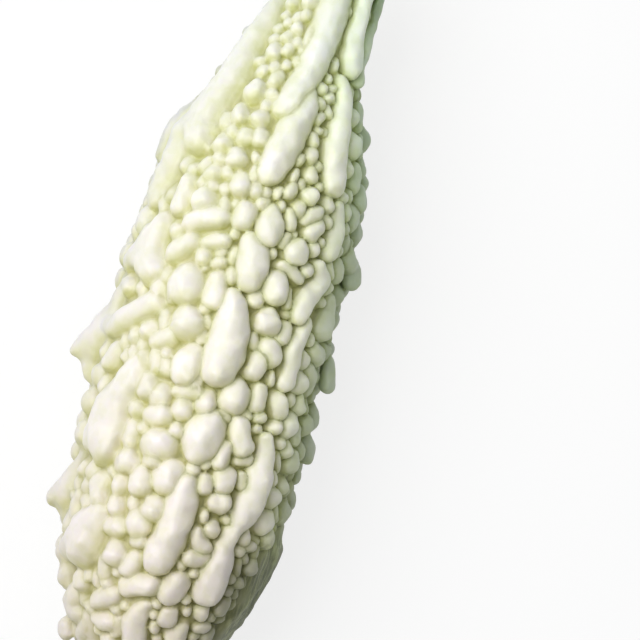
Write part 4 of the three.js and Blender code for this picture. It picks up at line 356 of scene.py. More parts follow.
    [[(-2,150.5,0.71,4.24),(-4.2,147.3,0.71,4.24)]],[[(-6.9,152.2,0.9,3.53),(-11.9,151.8,1.24,3.36)]],
    [[(29.7,177.9,1.53,2.93),(25.6,176,0.08,5.79),(22.6,175.9,-0.36,6.15),(18,177.1,1.21,4.42)]],
    [[(11.7,-177.9,2.33,3.1),(8.1,179.6,0.76,4.53),(3.4,176.6,-0.51,5.72),(-3.7,172.3,-1.37,6.61),(-10.8,169.6,-1.08,6.32),(-14.5,168.8,-0.35,5.6)]],
    [[(-56.7,173.8,0.5,4.4),(-63.6,173.9,-0.38,5.55),(-72,175.9,-0.14,5.76),(-79.4,-179.5,0.42,5.99),(-82,-177.4,1.46,5.41)]],
    [[(-34.8,167.6,-0.21,5.4),(-40,170.6,-2.03,6.87),(-45.6,172.7,0.4,4.35)]],
    [[(29.1,-127.1,0.19,4.27),(22.2,-122.1,-0.37,6.22),(16.8,-123.2,-0.07,6.61),(13.8,-129,1.25,5.44)],[(24,-120.1,0.15,4.66),(18.3,-112.8,0.45,5.05),(14.9,-105.4,1.09,3.89)]],
    [[(-21.9,-148.8,-0.27,5.1),(-31,-142.9,-0.64,6.86),(-41.1,-136,-0.78,8.03),(-49.3,-135.1,0.14,7.45),(-53.1,-136.4,1.15,6.08)],[(-35.5,-132.3,-0.31,5.49),(-45.8,-125,-0.36,5.88),(-51.9,-123.1,0.24,5.1)]],
    [[(-72.2,-140.1,0.32,4.09),(-76.8,-135.4,-0.2,6.14),(-81.9,-129.9,-0.29,7.25),(-84.8,-128,0.45,6.51)],[(-77.2,-128.1,0.27,4.65),(-82.8,-117.3,0.26,4.83),(-86.5,-112.7,0.83,4.09)]],
    [[(-107.5,2.6,-0.9,3.3),(-114,5,-0.8,3.1),(-120.5,6.7,-0.7,2.7),(-126,4.4,-0.6,2.1)]],
    [[(-106,47,-0.9,3.3),(-114,46.4,-0.8,3.1),(-120.5,48,-0.7,2.7),(-126,45.6,-0.6,2.1)]],
    [[(-108.5,106.5,-0.9,3.3),(-114,106.3,-0.8,3.1),(-120.5,101,-0.7,2.7),(-126,101.4,-0.6,2.1)]],
    [[(-108.8,148.4,-0.9,3.3),(-114,144.8,-0.8,3.1),(-120.5,143.6,-0.7,2.7),(-126,148.9,-0.6,2.1)]],
    [[(-106.1,-157.7,-0.9,3.3),(-114,-161.7,-0.8,3.1),(-120.5,-159.3,-0.7,2.7),(-126,-161.2,-0.6,2.1)]],
    [[(-108.7,-106.8,-0.9,3.3),(-114,-109.8,-0.8,3.1),(-120.5,-109,-0.7,2.7),(-126,-110.1,-0.6,2.1)]],
    [[(-106.1,-55.6,-0.9,3.3),(-114,-53.4,-0.8,3.1),(-120.5,-52.7,-0.7,2.7),(-126,-51.1,-0.6,2.1)]],[[(15.2,80.2,-2.15,5.34),(13.6,80.2,-1.11,5.81)]],
    [[(-94.4,74.3,-1.64,4.97),(-95,75.7,-0.67,5.41)]],[[(-64.5,99.2,-2.13,5),(-65.9,99.5,-1.15,5.43)]],
    [[(56.9,87.2,-3.55,5.16),(56.1,87.2,-2.54,5.61)]],[[(29.4,88.3,-3.17,4.94),(26.2,89.7,-2.2,5.37)]],
    [[(71.2,99,-4.1,4.91),(69.3,97.9,-3.2,5.34)]],[[(-35.5,75.6,-2.21,5.32),(-37.2,75.6,-1.17,5.78)]],
    [[(-41.2,92.8,-1.93,5.32),(-44.6,92.9,-0.89,5.78)]],[[(-54.3,97.4,-1.56,4.89),(-55.1,97,-0.6,5.32)]],
    [[(40.6,85.9,-3.57,5.16),(40,85.8,-2.57,5.6)]],[[(47.3,99.8,-3.37,5.04),(45.4,99.9,-2.38,5.48)]],
    [[(-86.5,96.1,-1.71,4.91),(-87.1,96.3,-0.75,5.34)]],[[(7.3,93.7,-2.4,5.26),(5.4,93,-1.37,5.72)]],
    [[(-47,77.6,-2.18,5.25),(-48.5,76.8,-1.15,5.71)]],[[(73.8,74.7,-4.3,5.35),(71.1,75,-3.5,5.82)]],
    [[(-96.5,97.9,-1.91,5.18),(-97.3,99.6,-0.9,5.64)]],[[(-77.1,99.8,-1.82,5.07),(-78.1,99.7,-0.83,5.51)]],
    [[(18.2,96.1,-1.85,5.06),(17.6,97.7,-0.86,5.51)]],[[(-85.4,78.8,-1.79,5.24),(-87.2,77.8,-0.76,5.7)]],
    [[(-54.5,-104,-1.62,4.52),(-55.4,-105.1,-0.73,4.92)]],[[(-39.2,-104.8,-2.16,4.71),(-41.5,-103.4,-1.24,5.12)]],
    [[(-11.1,-98.7,-1.89,4.57),(-12.6,-99.7,-0.99,4.96)]],[[(-29.9,-103.4,-1.65,4.59),(-30.7,-102,-0.76,4.99)]],
    [[(-0.9,-123.4,-0.61,4.61),(-2.1,-121.6,0.29,5.01)]],[[(-9.8,-139.1,-0.17,4.67),(-12.1,-137.7,0.74,5.08)]],
    [[(73.3,-97.3,-0.2,4.6),(72.2,-98.1,0.7,5)]],[[(1.1,-100,-0.37,4.57),(-0.1,-98.7,0.53,4.97)]],[[(59.2,-97.1,-0.28,4.33),(57.4,-97.8,0.57,4.7)]],
    [[(-87.5,116.7,-0.06,4.46),(-88,114.9,0.81,4.85)]],[[(-8.1,107.2,-0.48,4.48),(-10,105.4,0.39,4.87)]],
    [[(42.6,-91.3,-0.2,4.58),(40.4,-92.6,0.69,4.98)]],[[(-19.2,-113.5,-1.4,4.48),(-20.1,-112.6,-0.52,4.87)]],
    [[(-94,122.3,0.03,4.61),(-96.8,121.6,0.93,5.01)]],[[(19.6,-85.9,-1.43,4.43),(18.8,-85.9,-0.56,4.81)]],
    [[(-9.8,-120,-0.59,4.6),(-12.6,-118.7,0.31,5)]],[[(49.1,-102,-0.6,4.71),(47.4,-103,0.32,5.12)]],
    [[(11.3,-92.9,-1.55,4.65),(10.2,-91.4,-0.64,5.05)]],[[(69.2,-64,-0.05,4.38),(68.1,-63.9,0.81,4.76)]],
    [[(23.7,-100.1,-1.16,4.67),(21.3,-99.6,-0.25,5.08)]],[[(-20.3,101.6,-0.65,4.73),(-22,100.1,0.28,5.14)]],
    [[(-58.8,-56.9,-0.73,4.44),(-60.1,-55.4,0.14,4.83)]],[[(-54.5,-78.1,-2.5,4.67),(-56.3,-78.2,-1.58,5.07)]],
    [[(-25.6,-79.7,-1.69,4.66),(-26.2,-78.5,-0.77,5.07)]],[[(-0.5,-138.4,-0.32,4.68),(-2,-137.8,0.6,5.09)]],
    [[(53.7,-86.1,-0.06,4.4),(51.2,-84.6,0.8,4.79)]],[[(-65.5,-111.1,-0.92,4.54),(-67.5,-112,-0.03,4.94)]],
    [[(-26.3,71,-2,4.55),(-27.3,69.9,-1.11,4.94)]],[[(64.3,116.8,-0.11,3.92),(63.6,115.6,0.65,4.26)]],[[(48.7,80,-2.54,4.03),(48.3,81.7,-1.75,4.38)]],
    [[(-42.2,-89.3,-1.5,3.89),(-43.4,-88.6,-0.73,4.23)]],[[(-10.9,119.2,-0.14,4.14),(-12.4,120.2,0.67,4.5)]],
    [[(-25.4,117.1,0.08,3.96),(-26.5,118.4,0.85,4.3)]],[[(34.3,76.6,-2.78,4.21),(32.5,76.1,-1.96,4.58)]],
    [[(-62.6,124.9,-0.53,3.93),(-64.6,124.8,0.24,4.27)]],[[(36.5,-106.2,0.02,3.97),(35.8,-104.9,0.8,4.32)]],
    [[(-2.9,95.4,-1.54,3.98),(-4.2,95.9,-0.77,4.33)]],[[(-26.1,-56.5,-0.02,4.05),(-27.5,-56.1,0.78,4.4)]],
    [[(-74.8,114.1,-0.49,3.86),(-76,114.5,0.26,4.19)]],[[(65.6,-106,0.04,4.22),(63.7,-107.8,0.86,4.59)]],
    [[(-76.8,72.2,-1.54,4.12),(-79,72.1,-0.73,4.48)]],[[(-11.8,-55.2,-0.16,3.89),(-12.8,-56,0.6,4.23)]],
    [[(-53.9,120.4,-0.09,4.06),(-54.7,121.7,0.7,4.41)]],[[(-50.6,-54.1,-0.27,3.75),(-51.6,-56.1,0.46,4.08)]],
    [[(-34,-77.6,-1.32,3.53),(-35.2,-78.7,-0.63,3.83)]],[[(24,75.1,-0.97,3.67),(21.9,75.2,-0.25,3.99)]],
    [[(-5,-107.2,-0.49,3.68),(-5.7,-109,0.23,3.99)]],[[(71.6,115.7,0.41,3.55),(71,115.9,1.1,3.86)]],[[(-32.2,97,-0.83,3.61),(-33.6,96.7,-0.13,3.93)]],
    [[(83.4,-103.8,-1.28,3.12),(82.8,-103.2,-0.91,3.39)]],[[(82.4,84.6,-1.68,3.19),(81.8,83.1,-1.05,3.47)]],
    [[(84.9,114.5,-0.12,3.12),(83.3,113.4,0.49,3.39)]],[[(86.4,-61,-1.96,3.2),(85.6,-60.8,-1.78,3.48)]],
    [[(-0.2,-81.1,-0.17,3.31),(-0.9,-82.8,0.48,3.6)]],[[(-22.4,-101.8,-1.41,3.23),(-23.4,-100.1,-0.78,3.51)]],
    [[(-57.8,52.1,-0.69,3.3),(-58.4,52.2,-0.04,3.59)]],[[(86.9,-89.7,-1.9,3.11),(86.5,-91.2,-1.82,3.39)]],
    [[(79.9,102.2,-1.6,3.39),(78.1,100.9,-0.95,3.69)]],[[(-3.9,-54.2,-0.03,3.1),(-5.5,-55.8,0.57,3.37)]],
    [[(87.1,96.8,-1.92,3.27),(86.7,98.7,-1.28,3.55)]],[[(87.9,76.6,-1.81,3.22),(86.6,74.8,-1.18,3.5)]],
    [[(77.7,-111.4,-0.22,3.24),(76.8,-111.6,0.54,3.52)]],[[(56.2,114.8,0.3,3.35),(55.1,115.5,0.95,3.65)]],
    [[(62.6,-86.6,-0.1,3.3),(61.6,-84.6,0.54,3.59)]],[[(65.9,83.8,-1.76,3.4),(64.4,84.1,-1.09,3.69)]],
    [[(31,102.2,-0.11,3.14),(29.4,101.7,0.51,3.42)]],[[(-34.2,-114.2,-0.45,3.36),(-36.4,-115.3,0.2,3.65)]],
    [[(78.3,-64.5,-0.25,3.29),(77.3,-63.2,0.52,3.58)]],[[(61.5,-59.3,-0.06,3.14),(59.9,-59.9,0.55,3.42)]],
    [[(-26.5,-117.2,0.45,3.32),(-28,-118,1.1,3.61)]],[[(-47.5,-111.8,-1.12,3.27),(-49.4,-110.5,-0.48,3.55)]],
    [[(92.9,89.2,-1.51,2.87),(91.6,88.2,-0.94,3.12)]],[[(93.1,-93.7,-1.67,3.03),(91.8,-94.2,-1.59,3.3)]],
    [[(-18.4,68.2,-0.52,2.9),(-20.1,68.7,0.05,3.16)]],[[(6.4,-128.9,0,2.93),(5.1,-128.8,0.57,3.18)]],
    [[(-14.9,-86.4,-1.09,2.99),(-16.1,-84.9,-0.5,3.25)]],[[(31.9,-98.3,0.2,3.04),(30.3,-96.5,0.79,3.3)]],
    [[(6.1,108,0.16,2.91),(4.6,106.8,0.73,3.16)]],[[(-4.4,124.4,0.54,2.82),(-5,123.3,1.09,3.06)]],
    [[(-59.6,-130.4,0.51,3.08),(-61.5,-129.8,1.12,3.35)]],[[(98.1,100.3,0.26,3.08),(97.1,102.1,0.86,3.34)]],
    [[(78.1,117.7,0.59,2.94),(76.3,116.3,1.17,3.19)]],[[(98.5,81.5,-1.37,2.91),(97,79.9,-0.8,3.17)]],
    [[(15.1,133.3,0.58,2.94),(13.8,131.5,1.16,3.19)]],[[(102.8,-99,-1.36,2.58),(101.1,-98.5,-1.3,2.81)]],
    [[(-112.9,124.4,0.48,2.66),(-113.5,122.9,1,2.89)]],[[(-105.3,128.5,0.13,2.6),(-106.1,129.5,0.63,2.83)]],
    [[(-103,90.8,-0.76,2.77),(-104.6,90.9,-0.21,3.02)]],[[(-103,116.5,0.44,2.57),(-103.7,116.5,0.94,2.79)]],
    [[(-109.4,162.7,0.57,2.68),(-111.1,164.1,1.1,2.91)]],[[(-106.1,78.3,-0.47,2.78),(-107.8,79.8,0.08,3.02)]],
    [[(98.9,-86.6,-1.38,2.74),(98.3,-85.1,-1.31,2.98)]],[[(-118.9,166.2,0.1,2.61),(-119.5,164.7,0.61,2.84)]],
    [[(108.2,104.8,0.49,2.55),(106.6,106.1,0.99,2.77)]],[[(-33.9,-59.8,0.19,2.63),(-35.5,-60.1,0.71,2.86)]],
    [[(-115.2,-139.6,0.29,2.76),(-116.5,-141.1,0.83,3)]],[[(-87.6,130.8,0.13,2.56),(-88.9,128.9,0.63,2.79)]],
    [[(-113.7,-177.7,0.47,2.7),(-114.9,-179,0.99,2.93)]],[[(-64.4,64.1,-0.62,2.76),(-65.1,65.4,-0.08,3)]],
    [[(-117.7,66.1,0.35,2.71),(-118.5,66.9,0.88,2.94)]],[[(-114.4,89.1,-0.38,2.62),(-115.4,88.4,0.13,2.85)]],
    [[(-68.5,53.7,-0.5,2.74),(-69,52.6,0.04,2.98)]],[[(-8.4,-83.1,-0.88,2.7),(-9.5,-83.2,-0.35,2.94)]],
    [[(-100.5,134.5,0.67,2.55),(-101.2,136.4,1.17,2.77)]],[[(47.2,-65.4,0.3,2.71),(46,-65.8,0.83,2.94)]],
    [[(-117.9,122.1,0.39,2.59),(-118.3,122.9,0.9,2.81)]],[[(106.6,81.1,-1.18,2.69),(105.3,83.1,-0.65,2.92)]],
    [[(-104,142.2,0.19,2.73),(-105.1,142.1,0.73,2.96)]],[[(-119.1,-129.9,0.08,2.6),(-119.7,-128.6,0.58,2.83)]],
    [[(-110.5,-137.9,0.28,2.69),(-111,-139.3,0.81,2.93)]],[[(-48,-98.8,-1.14,2.73),(-48.5,-98.4,-0.61,2.97)]],
    [[(51.6,-56.1,0.57,2.6),(50.6,-57.7,1.07,2.83)]],[[(106.6,-147,0.21,2.62),(105.2,-145.3,0.72,2.85)]],
    [[(4.3,49.5,-0.53,2.65),(3.8,49.8,-0.02,2.88)]],[[(-19.1,-74.5,-1.07,2.74),(-20.3,-73.3,-0.54,2.97)]],
    [[(88.9,-106.5,-1.5,2.76),(88,-108.2,-1.43,3)]],[[(35.4,96.4,-1.23,2.69),(35,95.8,-0.71,2.92)]],[[(-66,-127,0.2,2.56),(-66.8,-125.7,0.7,2.78)]],
    [[(-109.6,91.7,-0.42,2.62),(-110.5,91.9,0.1,2.85)]],[[(-58.5,-93.2,-0.95,2.54),(-58.8,-93.9,-0.45,2.76)]],
    [[(28.9,-137.6,0.29,2.68),(28.5,-138.7,0.81,2.91)]],[[(27.2,123.1,0.46,2.58),(26.4,123,0.97,2.81)]],
    [[(37.8,47.7,-1.46,2.76),(36.5,48.6,-0.92,3)]],[[(-11.6,-165.7,0.26,2.47),(-12.3,-165,0.75,2.69)]],
    [[(31.4,-44,0.72,2.53),(30.9,-42.3,1.21,2.75)]],[[(-110.8,-28.3,0.57,2.47),(-111.9,-28.5,1.06,2.69)]],
    [[(-106.9,-41,0.45,2.41),(-108.2,-39.3,0.92,2.61)]],[[(-117.7,-18.3,0.59,2.55),(-118.4,-17.4,1.09,2.78)]],
    [[(-65.3,-43.5,0.6,2.56),(-66.5,-43.6,1.1,2.78)]],[[(112.8,85.7,-1.19,2.45),(111.2,84.8,-0.71,2.67)]],
    [[(-116.9,-34.1,0.73,2.48),(-118.4,-34.4,1.22,2.69)]],[[(113.7,-137.7,0.49,2.48),(112.5,-139.1,0.97,2.7)]],
    [[(4,128.3,0.22,2.51),(2.4,127.2,0.71,2.72)]],[[(-7.9,34.6,0.75,2.48),(-9.2,36.1,1.24,2.7)]],[[(-117.5,28,0.41,2.45),(-119,27.1,0.89,2.66)]],
    [[(33.7,-62.8,0.39,2.48),(33.3,-64.8,0.87,2.69)]],[[(-100.6,-50.6,0.77,2.41),(-102.2,-50,1.24,2.62)]],
    [[(110.3,37.8,0.45,2.44),(108.8,36.8,0.93,2.65)]],[[(21.1,-63.3,-0.11,2.57),(20.3,-62.8,0.39,2.79)]],
    [[(114,107.3,0.64,2.47),(112.3,107.1,1.12,2.69)]],[[(25.6,37.7,0.41,2.38),(24.9,36.1,0.87,2.58)]],
    [[(-112,74.9,-0.36,2.54),(-113.4,76,0.14,2.76)]],[[(-11.6,42.1,0.55,2.36),(-11.9,42.7,1.02,2.56)]],
    [[(-112.5,-12.2,0.53,2.56),(-113.3,-14,1.03,2.78)]],[[(6,-84,0.24,2.41),(4.5,-83,0.71,2.62)]],[[(-37.7,119.2,0.69,2.37),(-39,118.8,1.15,2.58)]],
    [[(47.7,-46,0.72,2.45),(46.2,-46.7,1.2,2.66)]],[[(-48.2,104.1,0.27,2.41),(-49.2,103.9,0.75,2.62)]],
    [[(27.4,-60.1,0.39,2.43),(25.8,-61.2,0.87,2.64)]],[[(-95.7,136.8,0.45,2.4),(-96.4,135.6,0.92,2.61)]],
    [[(107.5,-92.8,-1.29,2.43),(106.8,-94.3,-1.22,2.64)]],[[(114.4,36,0.64,2.43),(113.9,35.8,1.12,2.65)]],
    [[(114.4,-69.4,-1.3,2.48),(113.3,-71.2,-1.24,2.7)]],[[(34.1,-89.5,0.55,2.55),(33.4,-88.6,1.05,2.78)]],
    [[(86.6,-75.3,-1.17,2.38),(85.7,-75.7,-1.04,2.59)]],[[(-54.1,109.4,0.26,2.39),(-54.9,109.3,0.73,2.6)]],
    [[(-13.9,48.1,-0.26,2.39),(-14.9,49.8,0.21,2.6)]],[[(24.4,-42.8,0.58,2.41),(23.6,-42.1,1.06,2.62)]],
    [[(-69.2,69.9,-0.31,2.44),(-69.7,70.7,0.16,2.66)]],[[(-63.6,54.7,-0.34,2.43),(-64,55.4,0.14,2.64)]],
    [[(-92.1,-113.5,0.68,2.37),(-93,-112.3,1.14,2.58)]],[[(118.4,-146.2,0.52,2.34),(117.1,-147.6,0.98,2.54)]],
    [[(118.6,103.8,0.62,2.27),(117.3,103.2,1.06,2.46)]],[[(118.9,84.4,-0.9,2.18),(117.5,85.1,-0.48,2.37)]],
    [[(119.1,31.6,0.7,2.35),(118.5,32.6,1.16,2.55)]],[[(37.2,-132.5,0.59,2.28),(36.8,-131.5,1.04,2.48)]],
    [[(-119.7,82.3,0.49,2.33),(-120,83.4,0.95,2.53)]],[[(83.2,149.1,0.71,2.3),(81.8,149.6,1.16,2.5)]],[[(2.7,-57.9,0.61,2.31),(2.4,-57.1,1.06,2.51)]],
    [[(103,98.7,-0.87,2.32),(102.4,96.9,-0.42,2.52)]],[[(91.4,-79.2,-1.11,2.35),(90.3,-80.3,-1.05,2.55)]],
    [[(120.9,-77.6,-1.11,2.18),(119.5,-77.1,-1.05,2.37)]],[[(80.3,-92.8,-0.36,2.32),(79.7,-91.2,0.05,2.52)]],
    [[(43.7,-28.6,0.28,2.29),(42.3,-27.8,0.73,2.49)]],[[(-27.9,-126.5,0.48,2.29),(-28.7,-128.3,0.93,2.49)]],
    [[(0.9,-111.6,0.7,2.17),(0.4,-111.1,1.13,2.35)]],[[(-114.4,162.9,0.51,2.22),(-115,164.8,0.94,2.41)]],
    [[(41.4,-69.3,0.61,2.19),(41.1,-67.9,1.04,2.38)]],[[(84.8,-152.6,0.77,2.23),(84.6,-151.8,1.21,2.43)]],
    [[(82,71.2,-0.89,2.35),(81.3,69.7,-0.43,2.55)]],[[(-108.2,120.7,0.68,2.21),(-109.5,120.9,1.11,2.4)]],
    [[(26.2,141.8,0.53,2.32),(24.8,142.4,0.98,2.53)]],[[(91.5,107.1,0.46,2.32),(91,108.1,0.92,2.52)]],
    [[(2.8,-148.3,0.67,2.26),(2.1,-148.7,1.12,2.46)]],[[(-42.8,-77.2,-1.33,2.3),(-43.1,-77.9,-0.88,2.49)]],
    [[(-18.6,-139.8,0.32,2.32),(-19.8,-138.1,0.77,2.52)]],[[(94.5,-149.2,0.6,2.25),(93.9,-149.9,1.04,2.44)]],
    [[(123.9,30,0.56,2.05),(123.2,29.2,0.96,2.22)]],[[(-83.9,-103.9,-0.68,2.14),(-84.7,-103.1,-0.26,2.33)]],
    [[(-95.4,-104.4,-0.51,2.05),(-96.4,-103.2,-0.11,2.22)]],[[(-75.8,-106.1,-0.6,2.02),(-76.1,-106.5,-0.21,2.2)]],
    [[(-79.6,-103.5,-0.39,2.09),(-80.2,-102.1,0.01,2.27)]],[[(43.7,130.1,0.37,2.12),(43.2,128.6,0.79,2.31)]],
    [[(-40.4,-158.3,0.6,2.08),(-41.5,-158.4,1,2.26)]],[[(-65.2,-102.3,-1.65,2.14),(-66,-100.5,-1.24,2.33)]],
    [[(124,105,0.27,2.05),(123.5,106.5,0.67,2.22)]],[[(124.7,-137.1,0.47,2.04),(124.2,-138.6,0.87,2.22)]],
    [[(-72.2,-102.8,-0.55,2.05),(-72.7,-102.7,-0.15,2.23)]],[[(-48.5,-74,-0.81,2.16),(-49.4,-73.9,-0.39,2.35)]],
    [[(-94.4,-53.9,-0.61,2.05),(-95.2,-53.4,-0.21,2.23)]],[[(127.3,92.9,-0.92,2.01),(126.4,93.6,-0.52,2.18)]],
    [[(-69.8,-58,-0.46,2.14),(-71.1,-56.3,-0.04,2.33)]],[[(-85,-54,-0.61,2.09),(-85.7,-53.7,-0.2,2.27)]],
    [[(-107.8,-20,0.81,2.16),(-108.9,-18.7,1.23,2.35)]],[[(125.7,-75.8,-0.99,2.04),(125.2,-76.5,-0.94,2.22)]],
    [[(-118.5,-83.3,-0.76,2.14),(-119.5,-83.4,-0.34,2.33)]],[[(-103.3,106.9,0.41,2.05),(-104.5,105.3,0.81,2.23)]],
    [[(123.4,88.4,-1.03,2.13),(122.5,86.9,-0.62,2.31)]],[[(-13,-149.7,0.66,2.08),(-13.6,-149.1,1.07,2.26)]],
    [[(-81.8,113.1,0.89,1.99),(-82.1,111.2,1.28,2.16)]],[[(-18.4,-54.4,0.38,2.13),(-18.9,-53.5,0.8,2.31)]],
    [[(-118,-67.9,-0.44,2.04),(-118.3,-69.6,-0.04,2.21)]],[[(-82.2,123.6,0.84,2.15),(-83.6,125.1,1.26,2.33)]],
    [[(-47.8,123,0.64,2.07),(-48.2,124.7,1.04,2.25)]],[[(-33.2,114.5,0.52,2.08),(-34.4,116,0.93,2.27)]],
    [[(-70.5,120,0.63,2.14),(-71.3,121.9,1.05,2.33)]],[[(-90.1,-104.5,-0.4,1.99),(-90.5,-103.3,-0.01,2.17)]],
    [[(-68.1,134.8,0.82,2.06),(-69.3,133.5,1.23,2.24)]],[[(24.7,105.7,0.72,2.15),(23.8,104.6,1.14,2.33)]],
    [[(-44.6,-52.6,0.91,1.99),(-45.7,-53.3,1.3,2.16)]],[[(-118.4,-175.8,0.69,1.99),(-119.5,-176.9,1.08,2.16)]],
    [[(41.9,-47.2,0.67,2.04),(41.3,-49,1.07,2.22)]],[[(-18.9,119.4,0.57,2.06),(-19.7,120.7,0.97,2.24)]],
    [[(33.1,135.1,0.82,2.02),(32.3,135.3,1.21,2.19)]],[[(11.2,104.5,0.55,2),(9.9,103.8,0.94,2.17)]],
    [[(-44.4,114.2,0.83,1.98),(-45.1,115.7,1.21,2.15)]],[[(127.7,28.1,0.54,2.1),(127.1,27.5,0.95,2.28)]],
    [[(25.9,-80.4,0.06,2.08),(24.7,-81.6,0.46,2.26)]],[[(-112,-40.8,0.6,2.04),(-112.6,-40.1,1,2.22)]],
    [[(-61.9,-73,-1.49,2.01),(-62.1,-71.5,-1.1,2.18)]],[[(97.7,-106.5,-0.9,2.06),(96.6,-105.5,-0.85,2.24)]],
    [[(71.4,-112,0.8,2.1),(70.7,-112.6,1.21,2.28)]],[[(-129.3,-98.1,-0.99,1.8),(-130,-98.7,-0.64,1.95)]],
    [[(-132.2,142.2,0.24,1.83),(-133.2,141,0.6,1.99)]],[[(-129.1,66.9,0.22,1.95),(-130.3,66.2,0.6,2.12)]],
    [[(-124.9,77.6,0.44,1.81),(-125.2,76.8,0.8,1.97)]],[[(101.5,111.7,0.55,1.91),(101.1,111,0.92,2.08)]],
    [[(-132.5,-132.9,0.23,1.81),(-133,-133.8,0.58,1.97)]],[[(-125,178.2,0.34,1.89),(-126.1,178.3,0.71,2.05)]],
    [[(-121.4,-142.5,0.63,1.87),(-122.2,-142,1,2.03)]],[[(-127.5,-135.4,0.26,1.96),(-128.6,-137.4,0.65,2.13)]],
    [[(-131.2,-1.9,-0.02,1.79),(-131.4,-1.9,0.33,1.95)]],[[(-125.3,-19.8,0.53,1.83),(-125.6,-19.8,0.89,1.99)]],
    [[(77.1,8.7,0.85,1.88),(76.5,8.1,1.22,2.04)]],[[(-128.8,99.2,-0.04,1.83),(-129.8,100.4,0.32,1.99)]],
    [[(-124,-75.2,-0.66,1.81),(-124.9,-77.1,-0.31,1.97)]],[[(-121.2,-11.9,0.75,1.86),(-121.5,-10.8,1.11,2.02)]],
    [[(-128.4,-13.1,0.3,1.88),(-129.1,-14,0.67,2.05)]],[[(-125.5,124.4,0.33,1.84),(-125.8,122.8,0.69,2)]],
    [[(-129.5,30.8,0.01,1.87),(-130,32.2,0.38,2.03)]],[[(-128.5,-70.5,-0.8,1.82),(-129.4,-72.2,-0.44,1.97)]],
    [[(-123.1,-129.2,0.41,1.85),(-123.8,-128.1,0.77,2.01)]],[[(-123.3,24,0.28,1.9),(-124,25,0.66,2.06)]],
    [[(-133.7,46.1,0.11,1.86),(-134.3,46,0.48,2.02)]],[[(75.7,-174.4,0.8,1.87),(74.8,-173.1,1.16,2.03)]],
    [[(-129.7,179.8,-0.04,1.89),(-130.6,-179.8,0.33,2.06)]],[[(-131.1,-38.8,-0.09,1.85),(-132,-37.1,0.27,2.01)]],
    [[(-101.9,44,0.6,1.9),(-102.8,42.2,0.97,2.06)]],[[(84.3,-25.4,0.5,1.94),(83.7,-27.4,0.88,2.11)]],
    [[(131.2,105.7,0.38,1.81),(130.4,107.4,0.73,1.96)]],[[(-58.2,-113.9,0.38,1.87),(-58.8,-114.8,0.75,2.03)]],
    [[(-128.8,133.2,0.35,1.93),(-129.3,134.7,0.73,2.1)]],[[(-13.6,21.3,0.72,1.95),(-14.6,20.5,1.1,2.12)]],
    [[(95.9,30.9,0.63,1.85),(95.2,31.1,0.99,2.01)]],[[(-62.2,-99.9,-1.38,1.92),(-62.6,-98.6,-1,2.08)]],
    [[(129.7,-137.1,0.15,1.87),(129.4,-137.4,0.52,2.03)]],[[(131.9,31.4,0.5,1.8),(131,32,0.86,1.96)]],
    [[(-121.5,70.3,0.42,1.92),(-122.3,70,0.8,2.08)]],[[(87.3,32.2,0.69,1.8),(87,30.5,1.04,1.96)]],
    [[(-100.9,-129.9,0.46,1.91),(-101.2,-131.5,0.84,2.08)]],[[(10.1,-103.6,-0.21,1.89),(9.2,-103.1,0.16,2.06)]],
    [[(-122.5,-29.1,0.38,1.94),(-123.6,-30.6,0.76,2.1)]],[[(74.9,140.9,0.51,1.88),(74.4,142.5,0.88,2.05)]],
    [[(-121.2,-72.1,-0.46,1.82),(-121.9,-70.3,-0.11,1.97)]],[[(61.7,24,0.8,1.86),(61.2,22.6,1.17,2.02)]],
    [[(77.2,-34.7,0.82,1.81),(76,-35.9,1.18,1.96)]],[[(-22.2,-166.9,0.83,1.93),(-22.7,-165.3,1.2,2.09)]],
    [[(-121.8,122.5,0.61,1.8),(-122.9,122.1,0.96,1.95)]],[[(-113.8,17.7,0.91,1.95),(-114.6,19.1,1.29,2.12)]],
    [[(-6.3,-130.9,0.45,1.92),(-7.3,-129.8,0.82,2.08)]],[[(86.4,16.4,0.61,1.82),(85.7,14.7,0.96,1.98)]],
    [[(41.5,-8.3,0.5,1.95),(40.7,-6.4,0.88,2.12)]],[[(-133.3,-79.8,-1.14,1.89),(-134.1,-80.3,-0.77,2.06)]],
    [[(41.5,-132.9,0.76,1.89),(41,-134.5,1.13,2.06)]],[[(-114.9,-124.8,0.72,1.9),(-115.5,-125.9,1.09,2.06)]],
    [[(96.7,8.1,0.54,1.91),(95.9,7.1,0.91,2.08)]],[[(85.2,-166.7,0.8,1.79),(84.5,-167.2,1.15,1.95)]],
    [[(-121.7,-177.9,0.52,1.78),(-122.3,-179.3,0.87,1.94)]],[[(-109.5,136.2,0.81,1.9),(-110.3,134.6,1.18,2.07)]],
    [[(15.9,-60.3,0.26,1.95),(15.5,-60.3,0.64,2.12)]],[[(134.1,93.4,-1.13,1.94),(133.1,93.8,-0.75,2.11)]],
    [[(51.9,25.3,0.9,1.91),(51.6,23.3,1.28,2.07)]],[[(37.6,-82.3,0.61,1.9),(37.3,-82.5,0.98,2.07)]],
    [[(-89.5,-56.6,-0.41,1.94),(-90,-56.3,-0.03,2.11)]],[[(70.4,-150.5,0.87,1.9),(69.8,-151,1.24,2.07)]],
    [[(-72.6,138.7,0.89,1.78),(-73.6,137.5,1.24,1.94)]],[[(77.1,87.7,-0.63,1.87),(76.7,89.1,-0.26,2.03)]],
    [[(-131.6,93.8,-0.1,1.92),(-132.6,95.2,0.27,2.09)]],[[(-92,-131.8,0.67,1.95),(-93.1,-130.6,1.06,2.12)]],
    [[(-102.3,-41.6,0.79,1.8),(-103,-40.1,1.15,1.95)]],[[(48.3,130.6,0.89,1.94),(47.6,130.9,1.26,2.1)]],
    [[(-18.6,45.2,0.9,1.91),(-19.6,46,1.27,2.08)]],[[(-126.9,-88.2,-0.83,1.86),(-127.6,-89.1,-0.47,2.02)]],
